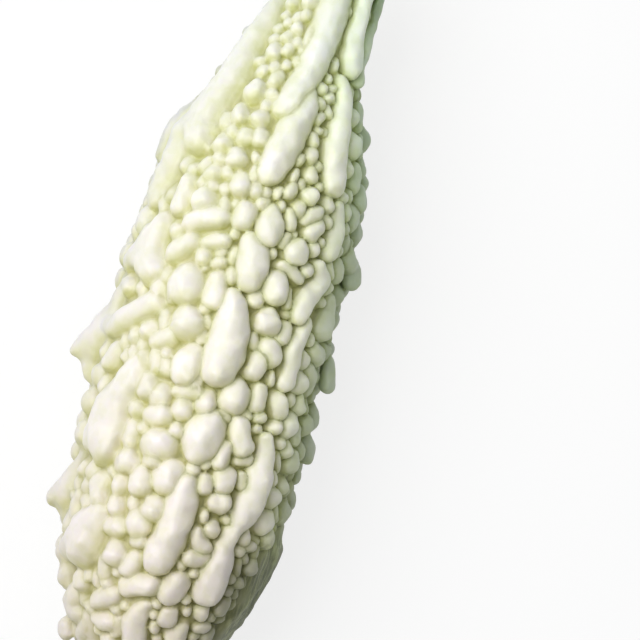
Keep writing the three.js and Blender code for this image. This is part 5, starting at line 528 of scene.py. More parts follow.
    [[(-122.2,165.8,0.7,1.84),(-123.3,165.1,1.06,2)]],[[(-6.1,-148.3,0.57,1.81),(-6.6,-147.9,0.92,1.96)]],
    [[(46.8,112,0.68,1.81),(45.8,112.1,1.03,1.97)]],[[(-70.8,-44,0.86,1.84),(-71.2,-42.3,1.22,2)]],[[(-76,131,0.59,1.75),(-76.7,130.5,0.93,1.91)]],
    [[(131.8,-73.4,-0.89,1.66),(130.8,-75.4,-0.85,1.81)]],[[(35.2,114.2,0.72,1.8),(34.6,113.4,1.07,1.95)]],
    [[(-91.4,43.7,0.83,1.66),(-92.4,43,1.15,1.8)]],[[(11.7,-113.7,0.24,1.67),(10.8,-113.3,0.57,1.82)]],
    [[(-58.2,-144.4,0.82,1.72),(-58.8,-145,1.16,1.87)]],[[(-29.1,137.4,0.6,1.79),(-29.5,136.4,0.95,1.95)]],
    [[(50.1,116,0.7,1.71),(49.9,116.6,1.04,1.86)]],[[(-15.3,138.4,0.87,1.76),(-16.3,137.7,1.22,1.91)]],
    [[(136.1,33.4,0.13,1.67),(135.8,31.9,0.45,1.81)]],[[(134.9,-142.9,0.27,1.69),(134.4,-141.8,0.6,1.84)]],
    [[(92.7,75.5,-0.52,1.76),(92.5,74.3,-0.17,1.91)]],[[(42.2,23.4,0.73,1.67),(42,21.6,1.05,1.81)]],[[(34.4,-47.8,0.6,1.72),(34.2,-48.3,0.93,1.87)]],
    [[(-80.3,-43.9,0.68,1.7),(-80.9,-45,1.02,1.85)]],[[(-13,36.8,0.85,1.7),(-14,36.7,1.18,1.85)]],[[(-39.8,24.9,0.83,1.68),(-40.2,24.6,1.16,1.82)]],
    [[(48.2,18.3,0.64,1.74),(47.2,16.9,0.98,1.89)]],[[(-56.7,39.3,0.61,1.65),(-57,37.3,0.93,1.8)]],[[(-99.6,20.7,0.85,1.71),(-100.3,18.8,1.19,1.86)]],
    [[(-24.1,135.4,0.62,1.78),(-24.9,135.7,0.97,1.94)]],[[(-71.3,104.9,0.82,1.72),(-72.2,105.7,1.15,1.87)]],
    [[(-81.4,-58.4,-0.39,1.77),(-82,-58,-0.04,1.92)]],[[(46.8,37.1,0.89,1.79),(46.3,37.6,1.24,1.94)]],
    [[(-21.2,167.2,0.61,1.72),(-21.6,168.2,0.95,1.87)]],[[(-66.3,-53.2,-0.31,1.75),(-67.1,-55.2,0.03,1.9)]],
    [[(-66.6,-73.6,-1.15,1.77),(-67.5,-72.1,-0.8,1.93)]],[[(138.1,99.8,-1.01,1.72),(137.9,98,-0.67,1.86)]],
    [[(-126.4,23.4,0.49,1.71),(-126.7,24.8,0.83,1.86)]],[[(45.4,149.5,0.7,1.68),(44.3,148.5,1.03,1.83)]],
    [[(-36.9,125.4,0.65,1.73),(-37.6,126.8,0.99,1.88)]],[[(-84.6,-47.7,0.75,1.8),(-85.4,-47,1.1,1.95)]],
    [[(-97.9,-6,0.8,1.59),(-98.5,-5.2,1.11,1.73)]],[[(120.9,-133.1,0.69,1.54),(120,-131.6,0.99,1.68)]],
    [[(-26,-25.9,0.76,1.52),(-26.9,-27.9,1.06,1.65)]],[[(-128.6,-48.1,0.09,1.63),(-129.4,-48,0.41,1.77)]],
    [[(69.6,-31.7,0.77,1.54),(69.3,-29.8,1.07,1.67)]],[[(-93.9,-5,0.78,1.56),(-94.6,-6.1,1.08,1.69)]],
    [[(-124.6,-143.2,0.52,1.58),(-125,-142.5,0.83,1.72)]],[[(100,34.3,0.66,1.51),(99.1,34.8,0.95,1.64)]],
    [[(93.5,-110.1,-0.69,1.58),(92.7,-108.5,-0.65,1.72)]],[[(141.4,98.6,-0.96,1.58),(141,96.7,-0.65,1.72)]],
    [[(52,-39.6,0.68,1.56),(51.5,-37.7,0.98,1.69)]],[[(-109,35.6,0.75,1.5),(-109.2,34.8,1.05,1.63)]],
    [[(103.3,-87.7,-0.62,1.55),(102.5,-85.7,-0.58,1.68)]],[[(85,-38.1,0.69,1.56),(84.3,-36.2,0.99,1.7)]],
    [[(51.3,-26.7,0.77,1.54),(50.5,-26.5,1.07,1.67)]],[[(-121.7,-93.8,-0.35,1.54),(-122.3,-92.3,-0.05,1.67)]],
    [[(105.2,35,0.68,1.52),(104.3,34.6,0.98,1.65)]],[[(-72.9,-48.2,0.79,1.57),(-73.8,-49,1.09,1.71)]],
    [[(58.2,-35.2,0.79,1.59),(57.9,-35.1,1.11,1.73)]],[[(98.3,-149.3,0.78,1.56),(97.7,-150.8,1.08,1.69)]],
    [[(-94.7,-44.8,0.67,1.61),(-95.2,-45.1,0.98,1.75)]],[[(145.3,-92.8,-0.66,1.36),(144.9,-92.6,-0.62,1.48)]],
    [[(138.3,-140.2,0.39,1.45),(137.8,-140.6,0.67,1.57)]],[[(78,-149.8,0.72,1.43),(77.2,-151.4,1,1.56)]],
    [[(121.9,-91.6,-0.57,1.42),(121.5,-92.4,-0.53,1.55)]],[[(-128.1,162.8,0.59,1.4),(-128.3,162.8,0.87,1.53)]],
    [[(89.1,-174.8,0.7,1.4),(88.6,-175.2,0.98,1.52)]],[[(145.6,87.2,-0.82,1.47),(144.8,88.2,-0.54,1.6)]],
    [[(127.7,109.4,0.51,1.41),(127,111.3,0.79,1.54)]],[[(145.6,42.9,0.38,1.42),(144.8,44.5,0.65,1.54)]],
    [[(116.2,115.6,0.67,1.45),(116,117.3,0.96,1.58)]],[[(-126.6,-30.9,0.4,1.45),(-127.2,-32.4,0.68,1.57)]],
    [[(117.3,-129.3,0.64,1.29),(117,-129.9,0.9,1.4)]],[[(95,-80.1,-0.51,1.27),(94.5,-79.3,-0.48,1.38)]],
    [[(-131.8,-80,-0.63,1.32),(-132.2,-81,-0.38,1.43)]],[[(-126.9,81.7,0.6,1.29),(-127.1,82.1,0.86,1.41)]],
    [[(136.3,-74.1,-0.55,1.31),(135.6,-75.3,-0.51,1.43)]],[[(139.3,30.9,0.39,1.27),(139,32.2,0.64,1.38)]],
    [[(88.6,120.1,0.64,1.28),(88,120.7,0.89,1.39)]],[[(-130,-149.3,0.23,1.33),(-130.7,-148,0.49,1.45)]],
    [[(-126,66.9,0.6,1.23),(-126.7,65.1,0.84,1.34)]],[[(119,-93.2,-0.53,1.33),(118.6,-92.7,-0.5,1.45)]],
    [[(-129,-119.8,0.27,1.17),(-129.8,-119.4,0.5,1.27)]],[[(-118.2,-93,0.18,1.13),(-118.3,-94,0.4,1.22)]],
]


# ---------------------------------------------------------------- the body under the warts
def hermite(x, xp, fp):
    """Smooth curve through the table, without overshoot."""
    s = np.diff(fp) / np.diff(xp)
    m = np.zeros_like(fp)
    same = s[:-1] * s[1:] > 0
    m[1:-1][same] = (2 * s[:-1] * s[1:])[same] / (s[:-1] + s[1:])[same]
    m[0], m[-1] = s[0], s[-1]
    i = np.clip(np.searchsorted(xp, x) - 1, 0, len(xp) - 2)
    h = xp[i + 1] - xp[i]
    t = np.clip((x - xp[i]) / h, 0, 1)
    return ((1 + 2 * t) * (1 - t) ** 2 * fp[i] + t * (1 - t) ** 2 * h * m[i]
            + t * t * (3 - 2 * t) * fp[i + 1] + t * t * (t - 1) * h * m[i + 1])


TIP, SHOULDER = SECTIONS[0, 0], SECTIONS[-1, 0]
LINE = np.arange(TIP, SHOULDER + 0.1, 0.1)
LINE_Y = hermite(LINE, SECTIONS[:, 0], SECTIONS[:, 1])
LINE_R2 = hermite(LINE, SECTIONS[:, 0], SECTIONS[:, 2] ** 2)


def mid_y(x):
    return np.interp(x, LINE, LINE_Y)


def radius2(x):
    return np.interp(x, LINE, LINE_R2)


def body_field(x, y, z):
    """About the distance outside the crease surface, mm."""
    rho2 = (y - mid_y(x)) ** 2 + z * z
    slope = radius2(x + 0.4) - radius2(x - 0.4)
    f = (rho2 - radius2(x)) / np.sqrt(4 * np.maximum(rho2, 1.0) + (slope / 0.8) ** 2)
    return f + np.maximum(TIP - x, 0)


def rounded_run(run):
    """Ball centres and radii along a run, with more balls put in so that it bends smoothly."""
    c = np.array([ball_centre(n) for n in run])
    r = np.array([n[3] for n in run], float)
    if len(run) < 3:
        return c, r
    way = np.concatenate([[0], np.cumsum(np.linalg.norm(np.diff(c, axis=0), axis=1) + 1e-3)])
    t = np.linspace(0, way[-1], max(len(run), int(way[-1] / 1.6) + 2))
    return np.stack([hermite(t, way, c[:, a]) for a in range(3)], 1), hermite(t, way, r)


def ball_centre(node):
    x, angle, sink, r = node
    a = math.radians(angle)
    out = math.sqrt(max(float(radius2(x)), 0.0)) + sink
    return np.array([x, float(mid_y(x)) + out * math.sin(a), out * math.cos(a)])


# ---------------------------------------------------------------- the fruit as a sampled field
LOW = np.array([-138.0, -48.0, -40.6])
HIGH = np.array([149.0, 49.0, 45.0])
GX = np.arange(LOW[0], HIGH[0], VOXEL).astype(np.float32)
GY = np.arange(LOW[1], HIGH[1], VOXEL).astype(np.float32)
GZ = np.arange(LOW[2], HIGH[2], VOXEL).astype(np.float32)


def make_fields():
    shape = (len(GX), len(GY), len(GZ))
    body = np.empty(shape, np.float32)
    for i in range(0, shape[0], 32):
        x = GX[i:i + 32, None, None]
        body[i:i + 32] = body_field(x, GY[None, :, None], GZ[None, None, :])
    near = np.full(shape, 6.0, np.float32)     # nearest wart
    second = np.full(shape, 6.0, np.float32)   # next nearest wart
    for group in WARTS:
        centres, radii = zip(*(rounded_run(run) for run in group))
        c = np.concatenate(centres)
        r = np.concatenate(radii)[:, None]
        lo = np.maximum(np.floor(((c - r).min(0) - 2.4 - LOW) / VOXEL).astype(int), 0)
        hi = np.minimum(np.ceil(((c + r).max(0) + 2.4 - LOW) / VOXEL).astype(int), shape)
        sx, sy, sz = (slice(i, j) for i, j in zip(lo, hi))
        px, py, pz = GX[sx, None, None], GY[None, sy, None], GZ[None, None, sz]
        whole = None
        for c, r in zip(centres, radii):
            d = None
            for a, b, ra, rb in zip(c[:-1], c[1:], r[:-1], r[1:]):
                v = b - a
                t = np.clip(((px - a[0]) * v[0] + (py - a[1]) * v[1] + (pz - a[2]) * v[2]) / (v @ v + 1e-6), 0, 1)
                e = np.sqrt((px - a[0] - t * v[0]) ** 2 + (py - a[1] - t * v[1]) ** 2 + (pz - a[2] - t * v[2]) ** 2)
                e = (e - (ra + t * (rb - ra))).astype(np.float32)
                d = e if d is None else np.minimum(d, e)
            whole = d if whole is None else soft_min(whole, d, GROUP_ROUND)
        n = near[sx, sy, sz]
        second[sx, sy, sz] = np.minimum(second[sx, sy, sz], np.maximum(n, whole))
        near[sx, sy, sz] = np.minimum(n, whole)
    return body, near, second


def soft_min(a, b, k):
    return np.minimum(a, b) - np.maximum(k - np.abs(a - b), 0) ** 2 / (4 * k)


def close_pinches(f):
    """Fill the few grid points where two parts of the skin would meet in one line or one point."""
    fill = np.float32(-0.02)
    while True:
        inside = f < 0
        todo = np.zeros(f.shape, bool)
        for axis in range(3):
            u, v = (axis + 1) % 3, (axis + 2) % 3

            def corner(i, j):
                s = [slice(None)] * 3
                s[u] = slice(i, f.shape[u] - 1 + i)
                s[v] = slice(j, f.shape[v] - 1 + j)
                return tuple(s)

            a, b, c, d = (inside[corner(i, j)] for i, j in ((0, 0), (1, 0), (0, 1), (1, 1)))
            for p, q, r, s, x, y in ((a, d, b, c, (1, 0), (0, 1)), (b, c, a, d, (0, 0), (1, 1))):
                cross = p & q & ~r & ~s
                todo[corner(*x)] |= cross
                todo[corner(*y)] |= cross
        whole = [slice(0, -1), slice(1, None)]
        n = sum(inside[whole[i], whole[j], whole[k]].astype(np.int8) for i in (0, 1) for j in (0, 1) for k in (0, 1))
        for i, j in ((0, 0), (0, 1), (1, 0), (1, 1)):
            p = inside[whole[0], whole[i], whole[j]]
            q = inside[whole[1], whole[1 - i], whole[1 - j]]
            apart = ((n == 6) & ~p & ~q) | ((n == 2) & p & q)
            for x in (0, 1):
                for y in (0, 1):
                    for z in (0, 1):
                        todo[whole[x], whole[y], whole[z]] |= apart & ~inside[whole[x], whole[y], whole[z]]
        if not todo.any():
            return f
        f[todo] = fill


def surface_nets(f):
    """Quads on the zero surface of f."""
    inside = f < 0
    n = np.zeros(tuple(s - 1 for s in f.shape), np.uint8)
    for i in (0, 1):
        for j in (0, 1):
            for k in (0, 1):
                n += inside[i:f.shape[0] - 1 + i, j:f.shape[1] - 1 + j, k:f.shape[2] - 1 + k]
    cells = np.argwhere((n > 0) & (n < 8))
    index = np.full(n.shape, -1, np.int32)
    index[cells[:, 0], cells[:, 1], cells[:, 2]] = np.arange(len(cells), dtype=np.int32)
    total = np.zeros((len(cells), 3))
    count = np.zeros(len(cells))
    for axis in range(3):
        for p in (0, 1):
            for q in (0, 1):
                a = cells.copy()
                u, v = [m for m in range(3) if m != axis]
                a[:, u] += p
                a[:, v] += q
                b = a.copy()
                b[:, axis] += 1
                fa = f[a[:, 0], a[:, 1], a[:, 2]]
                fb = f[b[:, 0], b[:, 1], b[:, 2]]
                cross = (fa < 0) != (fb < 0)
                t = np.where(cross, fa / np.where(cross, fa - fb, 1), 0)
                point = a.astype(float)
                point[:, axis] += t
                total += point * cross[:, None]
                count += cross
    points = LOW + VOXEL * total / count[:, None]
    quads = []
    for axis in range(3):
        u, v = (axis + 1) % 3, (axis + 2) % 3
        a = [slice(1, s - 1) for s in f.shape]
        a[axis] = slice(0, f.shape[axis] - 1)
        b = list(a)
        b[axis] = slice(1, f.shape[axis])
        fa, fb = inside[tuple(a)], inside[tuple(b)]
        for flip in (False, True):
            e = np.argwhere((fa & ~fb) if not flip else (~fa & fb))
            e[:, u] += 1
            e[:, v] += 1
            ring = []
            for du, dv in ((-1, -1), (0, -1), (0, 0), (-1, 0)):
                c = e.copy()
                c[:, u] += du
                c[:, v] += dv
                ring.append(index[c[:, 0], c[:, 1], c[:, 2]])
            quads.append(np.stack(ring if not flip else ring[::-1], 1))
    return points, np.concatenate(quads)


def sample(f, points):
    """Trilinear value of a field at points."""
    g = (points - LOW) / VOXEL
    i = np.clip(np.floor(g).astype(int), 0, np.array(f.shape) - 2)
    t = np.clip(g - i, 0, 1)
    out = 0
    for a in (0, 1):
        for b in (0, 1):
            for c in (0, 1):
                w = (t[:, 0] if a else 1 - t[:, 0]) * (t[:, 1] if b else 1 - t[:, 1]) * (t[:, 2] if c else 1 - t[:, 2])
                out = out + w * f[i[:, 0] + a, i[:, 1] + b, i[:, 2] + c]
    return out


def gradient(f, points, e=0.35):
    g = np.zeros_like(points)
    for a in range(3):
        d = np.zeros(3)
        d[a] = e
        g[:, a] = (sample(f, points + d) - sample(f, points - d)) / (2 * e)
    return g


def mesh_from_arrays(name, points, faces):
    size = faces.shape[1]
    mesh = bpy.data.meshes.new(name)
    mesh.vertices.add(len(points))
    mesh.vertices.foreach_set("co", np.ascontiguousarray(points, np.float32).ravel())
    mesh.loops.add(faces.size)
    mesh.loops.foreach_set("vertex_index", np.ascontiguousarray(faces, np.int32).ravel())
    mesh.polygons.add(len(faces))
    mesh.polygons.foreach_set("loop_start", np.arange(0, faces.size, size, dtype=np.int32))
    mesh.polygons.foreach_set("use_smooth", np.ones(len(faces), bool))
    mesh.update(calc_edges=True)
    return mesh


def vertex_normals(points, quads):
    d1 = points[quads[:, 2]] - points[quads[:, 0]]
    d2 = points[quads[:, 3]] - points[quads[:, 1]]
    face = np.cross(d1, d2)
    out = np.stack([np.bincount(quads.ravel(), np.repeat(face[:, a], 4), len(points)) for a in range(3)], 1)
    return out / np.maximum(np.linalg.norm(out, axis=1), 1e-12)[:, None]


def ramp01(low, high, values):
    t = np.clip((values - low) / (high - low), 0, 1)
    return t * t * (3 - 2 * t)


def waves(points, seed, scale, count=14):
    """Soft random swelling between about -1 and 1."""
    rng = np.random.default_rng(seed)
    out = np.zeros(len(points))
    for _ in range(count):
        k = rng.normal(size=3)
        k *= rng.uniform(0.7, 1.4) * 2 * math.pi / (scale * np.linalg.norm(k))
        out += np.sin(points @ k + rng.uniform(0, 2 * math.pi))
    return out / math.sqrt(count)


def largest_body(points, quads):
    """Leave out closed pockets between the warts: only the outer skin is kept."""
    label = np.arange(len(points))
    while True:
        low = label.copy()
        np.minimum.at(low, quads.ravel(), np.repeat(label[quads].min(1), 4))
        low = low[low]
        if (low == label).all():
            break
        label = low
    keep = label == np.bincount(label).argmax()
    index = np.cumsum(keep) - 1
    return points[keep], index[quads[keep[quads[:, 0]]]]


def make_fruit():
    body, near, second = make_fields()
    # softer on the side that is on the left in the photograph
    soft = ramp01(-14.0, 22.0, GY)[None, :, None].astype(np.float32)
    wart = soft_min(near, second, CREASE_ROUND + soft * (SOFT_CREASE_ROUND - CREASE_ROUND))
    f = soft_min(body, wart, BODY_ROUND + soft * (SOFT_BODY_ROUND - BODY_ROUND))
    f = np.maximum(f, GX[:, None, None] - SHOULDER)
    f = np.maximum(f, -GZ[None, None, :] - np.float32(FRAME[2]))
    f = close_pinches(f)
    points, quads = largest_body(*surface_nets(f))
    for _ in range(2):
        g = gradient(f, points)
        step = (sample(f, points) / np.maximum((g * g).sum(1), 0.15))[:, None] * g
        points -= np.clip(step, -0.2, 0.2)
    # what the finish needs to know about each point of the skin
    relief = sample(body, points)
    crease = sample(second, points) - sample(near, points)
    grad = gradient(f, points, 0.9)
    grad /= np.maximum(np.linalg.norm(grad, axis=1), 1e-6)[:, None]
    under = gradient(body, points, 0.9)
    under /= np.maximum(np.linalg.norm(under, axis=1), 1e-6)[:, None]
    round_y, round_z = points[:, 1] - mid_y(points[:, 0]), points[:, 2]
    side = round_y / np.maximum(np.hypot(round_y, round_z), 1e-6)
    # the underside takes the same painted shade as the side away from the light
    side = np.where(round_z > 0, side, np.where(side < 0, -1 + 0.35 * (1 + side), side - 0.65 * (1 - side)))
    # painted shade on the wart ends that face the blossom end, away from the light, stronger on the left side
    nose = (0.9 * (under[:, 0] - grad[:, 0]) + 0.43 * (under[:, 1] - grad[:, 1])) * (0.85 + 0.35 * ramp01(-0.3, 0.5, side))
    angle = np.degrees(np.arctan2(round_y, round_z))
    # edge: painted light, lifting the painted side shade on the right of the neck
    edge = ramp01(30, 62, points[:, 0]) * ramp01(-48, -66, angle) * ramp01(-150, -125, angle)
    # sun: how far a point faces the light, which sets how deep the painted crease shade is
    sun = side + 0.35 * ramp01(15, 85, points[:, 0])
    # painted shade, darker low on the right towards the flank
    low_right_shade = ramp01(-25, -75, points[:, 0]) * ramp01(0.15, -0.35, side)
    edge = np.maximum(edge, ramp01(55, 95, points[:, 0]) * ramp01(5, -25, angle) * ramp01(-150, -125, angle))
    low_right_shade = 0.5 * low_right_shade + 0.5 * ramp01(-60, -80, points[:, 0]) * ramp01(-30, -52, angle) * ramp01(-150, -110, angle)
    ragged_x, ragged_a = points[:, 0] + 3.5 * waves(points, 31, 9.0), angle + 3.5 * waves(points, 32, 8.0)
    flank = ramp01(-54, -76, ragged_x) * ramp01(-130, -102, ragged_x) * ramp01(-54, -72, ragged_a) * ramp01(-124, -92, ragged_a)
    station = points[:, 0] + FRAME[0]
    # no two warts alike: the skin is drawn about a little, except where it lies flat
    free = np.clip((points[:, 2] + FRAME[2]) / 4.0, 0, 1)[:, None]
    drawn = np.stack([0.20 * waves(points, 10 + a, 7.5) + 0.26 * waves(points, 20 + a, 15.0) for a in range(3)], 1)
    points += (drawn + grad * 0.14 * waves(points, 3, 5.2)[:, None]) * free
    points[:, 2] = np.maximum(points[:, 2], -FRAME[2])
    points = (points + FRAME) / 1000
    normals = vertex_normals(points, quads)

    raw = bpy.data.objects.new("raw", mesh_from_arrays("raw", points, quads))
    bpy.context.scene.collection.objects.link(raw)
    cut = raw.modifiers.new("cut", "DECIMATE")
    cut.ratio = TRIANGLES / (2 * len(quads))
    cut.use_collapse_triangulate = True
    bpy.context.view_layer.update()
    mesh = bpy.data.meshes.new_from_object(raw.evaluated_get(bpy.context.evaluated_depsgraph_get()))
    old = raw.data
    bpy.data.objects.remove(raw)
    bpy.data.meshes.remove(old)
    mesh.name = "fruit_skin"
    tree = KDTree(len(points))
    for i, p in enumerate(points.tolist()):
        tree.insert(p, i)
    tree.balance()
    kept = np.array([tree.find(v.co)[1] for v in mesh.vertices])
    for name, values in (("relief", relief), ("crease", crease), ("station", station), ("nose", nose), ("side", side), ("flank", flank), ("edge", edge), ("low_right_shade", low_right_shade), ("sun", sun)):
        mesh.attributes.new(name, "FLOAT", "POINT").data.foreach_set("value", values[kept].astype(np.float32))
    mesh.normals_split_custom_set_from_vertices(normals[kept].tolist())
    mesh.update()
    piece = bpy.data.objects.new("fruit_skin", mesh)
    bpy.context.scene.collection.objects.link(piece)
    return piece


# ---------------------------------------------------------------- stalk
def make_stalk():
    rings, sides = 60, 120
    y0 = float(mid_y(SHOULDER))
    points = []
    for i in range(rings):
        t = i / (rings - 1)
        s = STALK_LENGTH * t
        flare = 0.9 * math.exp(-s / 2.2)
        cut = 0.4 * min(max((t - 0.7) / 0.3, 0), 1) ** 2 * (3 - 2 * min(max((t - 0.7) / 0.3, 0), 1))
        r = STALK_RADIUS + flare + cut
        for k in range(sides):
            a = 2 * math.pi * k / sides
            rib = r * (1 + 0.05 * min(1, s / 3) * math.cos(5 * a) + 0.012 * math.cos(10 * a + 0.3 * s) + 0.008 * math.sin(23 * a + 1.7))
            points.append((SHOULDER - 0.2 + s * (STALK_LENGTH + 0.5) / STALK_LENGTH,
                           y0 - 0.235 * s - 0.004 * s * s + rib * math.sin(a),
                           0.006 * s * s + rib * math.cos(a)))
    p = np.array(points)
    faces = []
    for i in range(rings - 1):
        for k in range(sides):
            a, b = i * sides + k, i * sides + (k + 1) % sides
            faces.append((a, a + sides, b + sides, b))
    # cut end: rings drawn in to a slightly sunken, fibrous centre
    last = (rings - 1) * sides
    centre = p[last:].mean(0)
    prev = list(range(last, last + sides))
    extra = []
    for j, (scale, push) in enumerate(((0.95, 0.22), (0.8, 0.25), (0.6, 0.12), (0.4, 0.05), (0.2, -0.05))):
        row = []
        for k in range(sides):
            q = centre + (p[last + k] - centre) * scale
            q = q + np.array([push + 0.05 * math.sin(7.3 * k + j * 2.1), 0, 0])
            extra.append(q)
            row.append(len(p) + len(extra) - 1)
        for k in range(sides):
            faces.append((prev[k], row[k], row[(k + 1) % sides], prev[(k + 1) % sides]))
        prev = row
    extra.append(centre + np.array([-0.1, 0, 0]))
    tip = len(p) + len(extra) - 1
    p0 = len(p)
    p = np.vstack([p, np.array(extra)])
    base = p[:sides].mean(0)
    p = np.vstack([p, base])
    root = len(p) - 1
    faces = [tuple(f) for f in faces]
    for k in range(sides):
        faces.append((prev[k], tip, prev[(k + 1) % sides]))
        faces.append((k, (k + 1) % sides, root))
    mesh = bpy.data.meshes.new("stalk")
    mesh.from_pydata([tuple(v) for v in (p + FRAME) / 1000], [], faces)
    mesh.polygons.foreach_set("use_smooth", np.ones(len(mesh.polygons), bool))
    end = np.zeros(len(p), np.float32)
    end[p0:root] = 1.0
    mesh.attributes.new("cut_end", "FLOAT", "POINT").data.foreach_set("value", end)
    mesh.update()
    piece = bpy.data.objects.new("stalk", mesh)
    bpy.context.scene.collection.objects.link(piece)
    return piece


# ---------------------------------------------------------------- materials
def node(tree, kind, x, y, **values):
    n = tree.nodes.new(kind)
    n.location = (x, y)
    for key, value in values.items():
        setattr(n, key, value)
    return n


def ramp(tree, x, y, stops, mode="EASE"):
    n = node(tree, "ShaderNodeValToRGB", x, y)
    n.color_ramp.interpolation = mode
    while len(n.color_ramp.elements) < len(stops):
        n.color_ramp.elements.new(0.5)
    for e, (pos, col) in zip(n.color_ramp.elements, stops):
        e.position = pos
        e.color = (*col, 1) if len(col) == 3 else col
    return n


def mix(tree, x, y, mode="MIX"):
    n = node(tree, "ShaderNodeMix", x, y, data_type="RGBA", blend_type=mode)
    return n


def remap(tree, x, y, source, low, high):
    n = node(tree, "ShaderNodeMapRange", x, y)
    n.clamp = True
    n.inputs["From Min"].default_value = low
    n.inputs["From Max"].default_value = high
    tree.links.new(source, n.inputs["Value"])
    return n.outputs["Result"]


def skin_material():
    m = bpy.data.materials.new("skin")
    m.use_nodes = True
    t = m.node_tree
    t.nodes.clear()
    out = node(t, "ShaderNodeOutputMaterial", 1200, 0)
    p = node(t, "ShaderNodeBsdfPrincipled", 900, 0)
    t.links.new(p.outputs["BSDF"], out.inputs["Surface"])
    at = {k: node(t, "ShaderNodeAttribute", -1200, 500 - 180 * i, attribute_name=k).outputs["Fac"]
          for i, k in enumerate(("relief", "crease", "station", "nose", "side", "flank", "edge", "low_right_shade", "sun"))}
    coords = node(t, "ShaderNodeTexCoord", -1200, -700)

    def over(x, y, below, tone):
        n = mix(t, x, y, "MULTIPLY")
        n.inputs["Factor"].default_value = 1.0
        t.links.new(below, n.inputs["A"])
        t.links.new(tone, n.inputs["B"])
        return n.outputs["Result"]

    def toned(y, source, low, high, stops, mode="LINEAR"):
        n = ramp(t, -700, y, stops, mode)
        t.links.new(remap(t, -950, y, source, low, high), n.inputs["Fac"])
        return n.outputs["Color"]

    # colour by height over the creases: partly the skin's own greener hollows, partly painted shade darkening the
    # creases
    relief = remap(t, -950, 500, at["relief"], -0.3, 5.0)
    height = ramp(t, -700, 500, [(0.0, (0.44, 0.42, 0.20)), (0.22, (0.68, 0.665, 0.44)), (0.48, (0.86, 0.84, 0.73)), (1.0, (0.92, 0.895, 0.87))], "EASE")
    t.links.new(relief, height.inputs["Fac"])
    c = height.outputs["Color"]
    # the creases: painted shade, deep olive on the side away from the light, pale yellow-green on the lit side
    dark = toned(300, at["crease"], 0.0, 2.0, [(0.0, (0.40, 0.43, 0.21)), (0.4, (0.865, 0.885, 0.745)), (1.0, (1, 1, 1))], "EASE")
    pale = toned(200, at["crease"], 0.0, 2.0, [(0.0, (0.83, 0.835, 0.63)), (0.4, (0.965, 0.967, 0.91)), (1.0, (1, 1, 1))], "EASE")
    both = mix(t, -550, 250)
    t.links.new(remap(t, -700, 220, at["sun"], -0.5, 0.45), both.inputs["Factor"])
    t.links.new(dark, both.inputs["A"])
    t.links.new(pale, both.inputs["B"])
    c = over(-400, 450, c, both.outputs["Result"])
    # painted shade, yellower, on the wart ends that face the blossom end away from the light; painted light, whiter, on
    # faces turned towards it
    c = over(-250, 400, c, toned(100, at["nose"], -0.6, 1.0, [(0.0, (1.03, 1.035, 1.07)), (0.375, (1, 1, 1)), (0.58, (0.975, 0.975, 0.88)), (0.8, (0.91, 0.915, 0.69)), (1.0, (0.81, 0.82, 0.48))]))
    # greener towards the neck; creamier and darker towards the blossom end, where the darkening is painted shade
    c = over(-100, 350, c, toned(-100, at["station"], -150.0, 135.0, [(0.0, (0.84, 0.78, 0.75)), (0.15, (0.92, 0.87, 0.865)), (0.30, (0.985, 0.95, 0.955)), (0.5, (1.0, 0.985, 0.98)), (0.72, (0.985, 1.0, 0.985)), (0.87, (0.965, 1.0, 1.02)), (1.0, (0.68, 0.82, 0.54))]))
    # darker at both sides and darker and greener on the side away from the light: painted shade, with some of the
    # skin's own green there
    c = over(50, 300, c, toned(-300, at["side"], -1.0, 1.0, [(0.0, (0.55, 0.65, 0.50)), (0.03, (0.70, 0.80, 0.64)), (0.075, (0.89, 0.96, 0.83)), (0.14, (0.97, 1.0, 0.92)), (0.30, (0.98, 0.99, 0.93)), (0.55, (0.99, 0.99, 0.97)), (0.75, (0.97, 0.97, 0.97)), (1.0, (0.86, 0.87, 0.85))]))
    # painted shade, darker low on the right towards the flank
    c = over(100, 290, c, toned(-350, at["low_right_shade"], 0.0, 1.0, [(0.0, (1, 1, 1)), (0.5, (0.90, 0.885, 0.90)), (1.0, (0.44, 0.445, 0.41))]))
    # painted light: the right of the neck made lighter again against the painted side shade
    c = over(120, 280, c, toned(-400, at["edge"], 0.0, 1.0, [(0.0, (1, 1, 1)), (1.0, (1.05, 1.09, 1.09))]))
    c = over(200, 250, c, toned(-500, at["flank"], 0.0, 1.0, [(0.0, (1, 1, 1)), (1.0, (0.92, 0.94, 0.82))]))
    # long pale streaks on the bare flank
    along = node(t, "ShaderNodeMapping", -1150, -950)
    along.inputs["Scale"].default_value = (0.16, 1, 1)
    t.links.new(coords.outputs["Object"], along.inputs["Vector"])
    streak = node(t, "ShaderNodeTexNoise", -950, -950)
    streak.inputs["Scale"].default_value = 620.0
    streak.inputs["Detail"].default_value = 5.0
    streak.inputs["Roughness"].default_value = 0.65
    t.links.new(along.outputs["Vector"], streak.inputs["Vector"])
    streaked = ramp(t, -700, -950, [(0.36, (0.56, 0.56, 0.51)), (0.50, (1.0, 1.0, 0.94)), (0.64, (1.6, 1.57, 1.45))], "LINEAR")
    t.links.new(streak.outputs["Fac"], streaked.inputs["Fac"])
    n = mix(t, 260, 200, "MULTIPLY")
    t.links.new(at["flank"], n.inputs["Factor"])
    t.links.new(c, n.inputs["A"])
    t.links.new(streaked.outputs["Color"], n.inputs["B"])
    c = n.outputs["Result"]
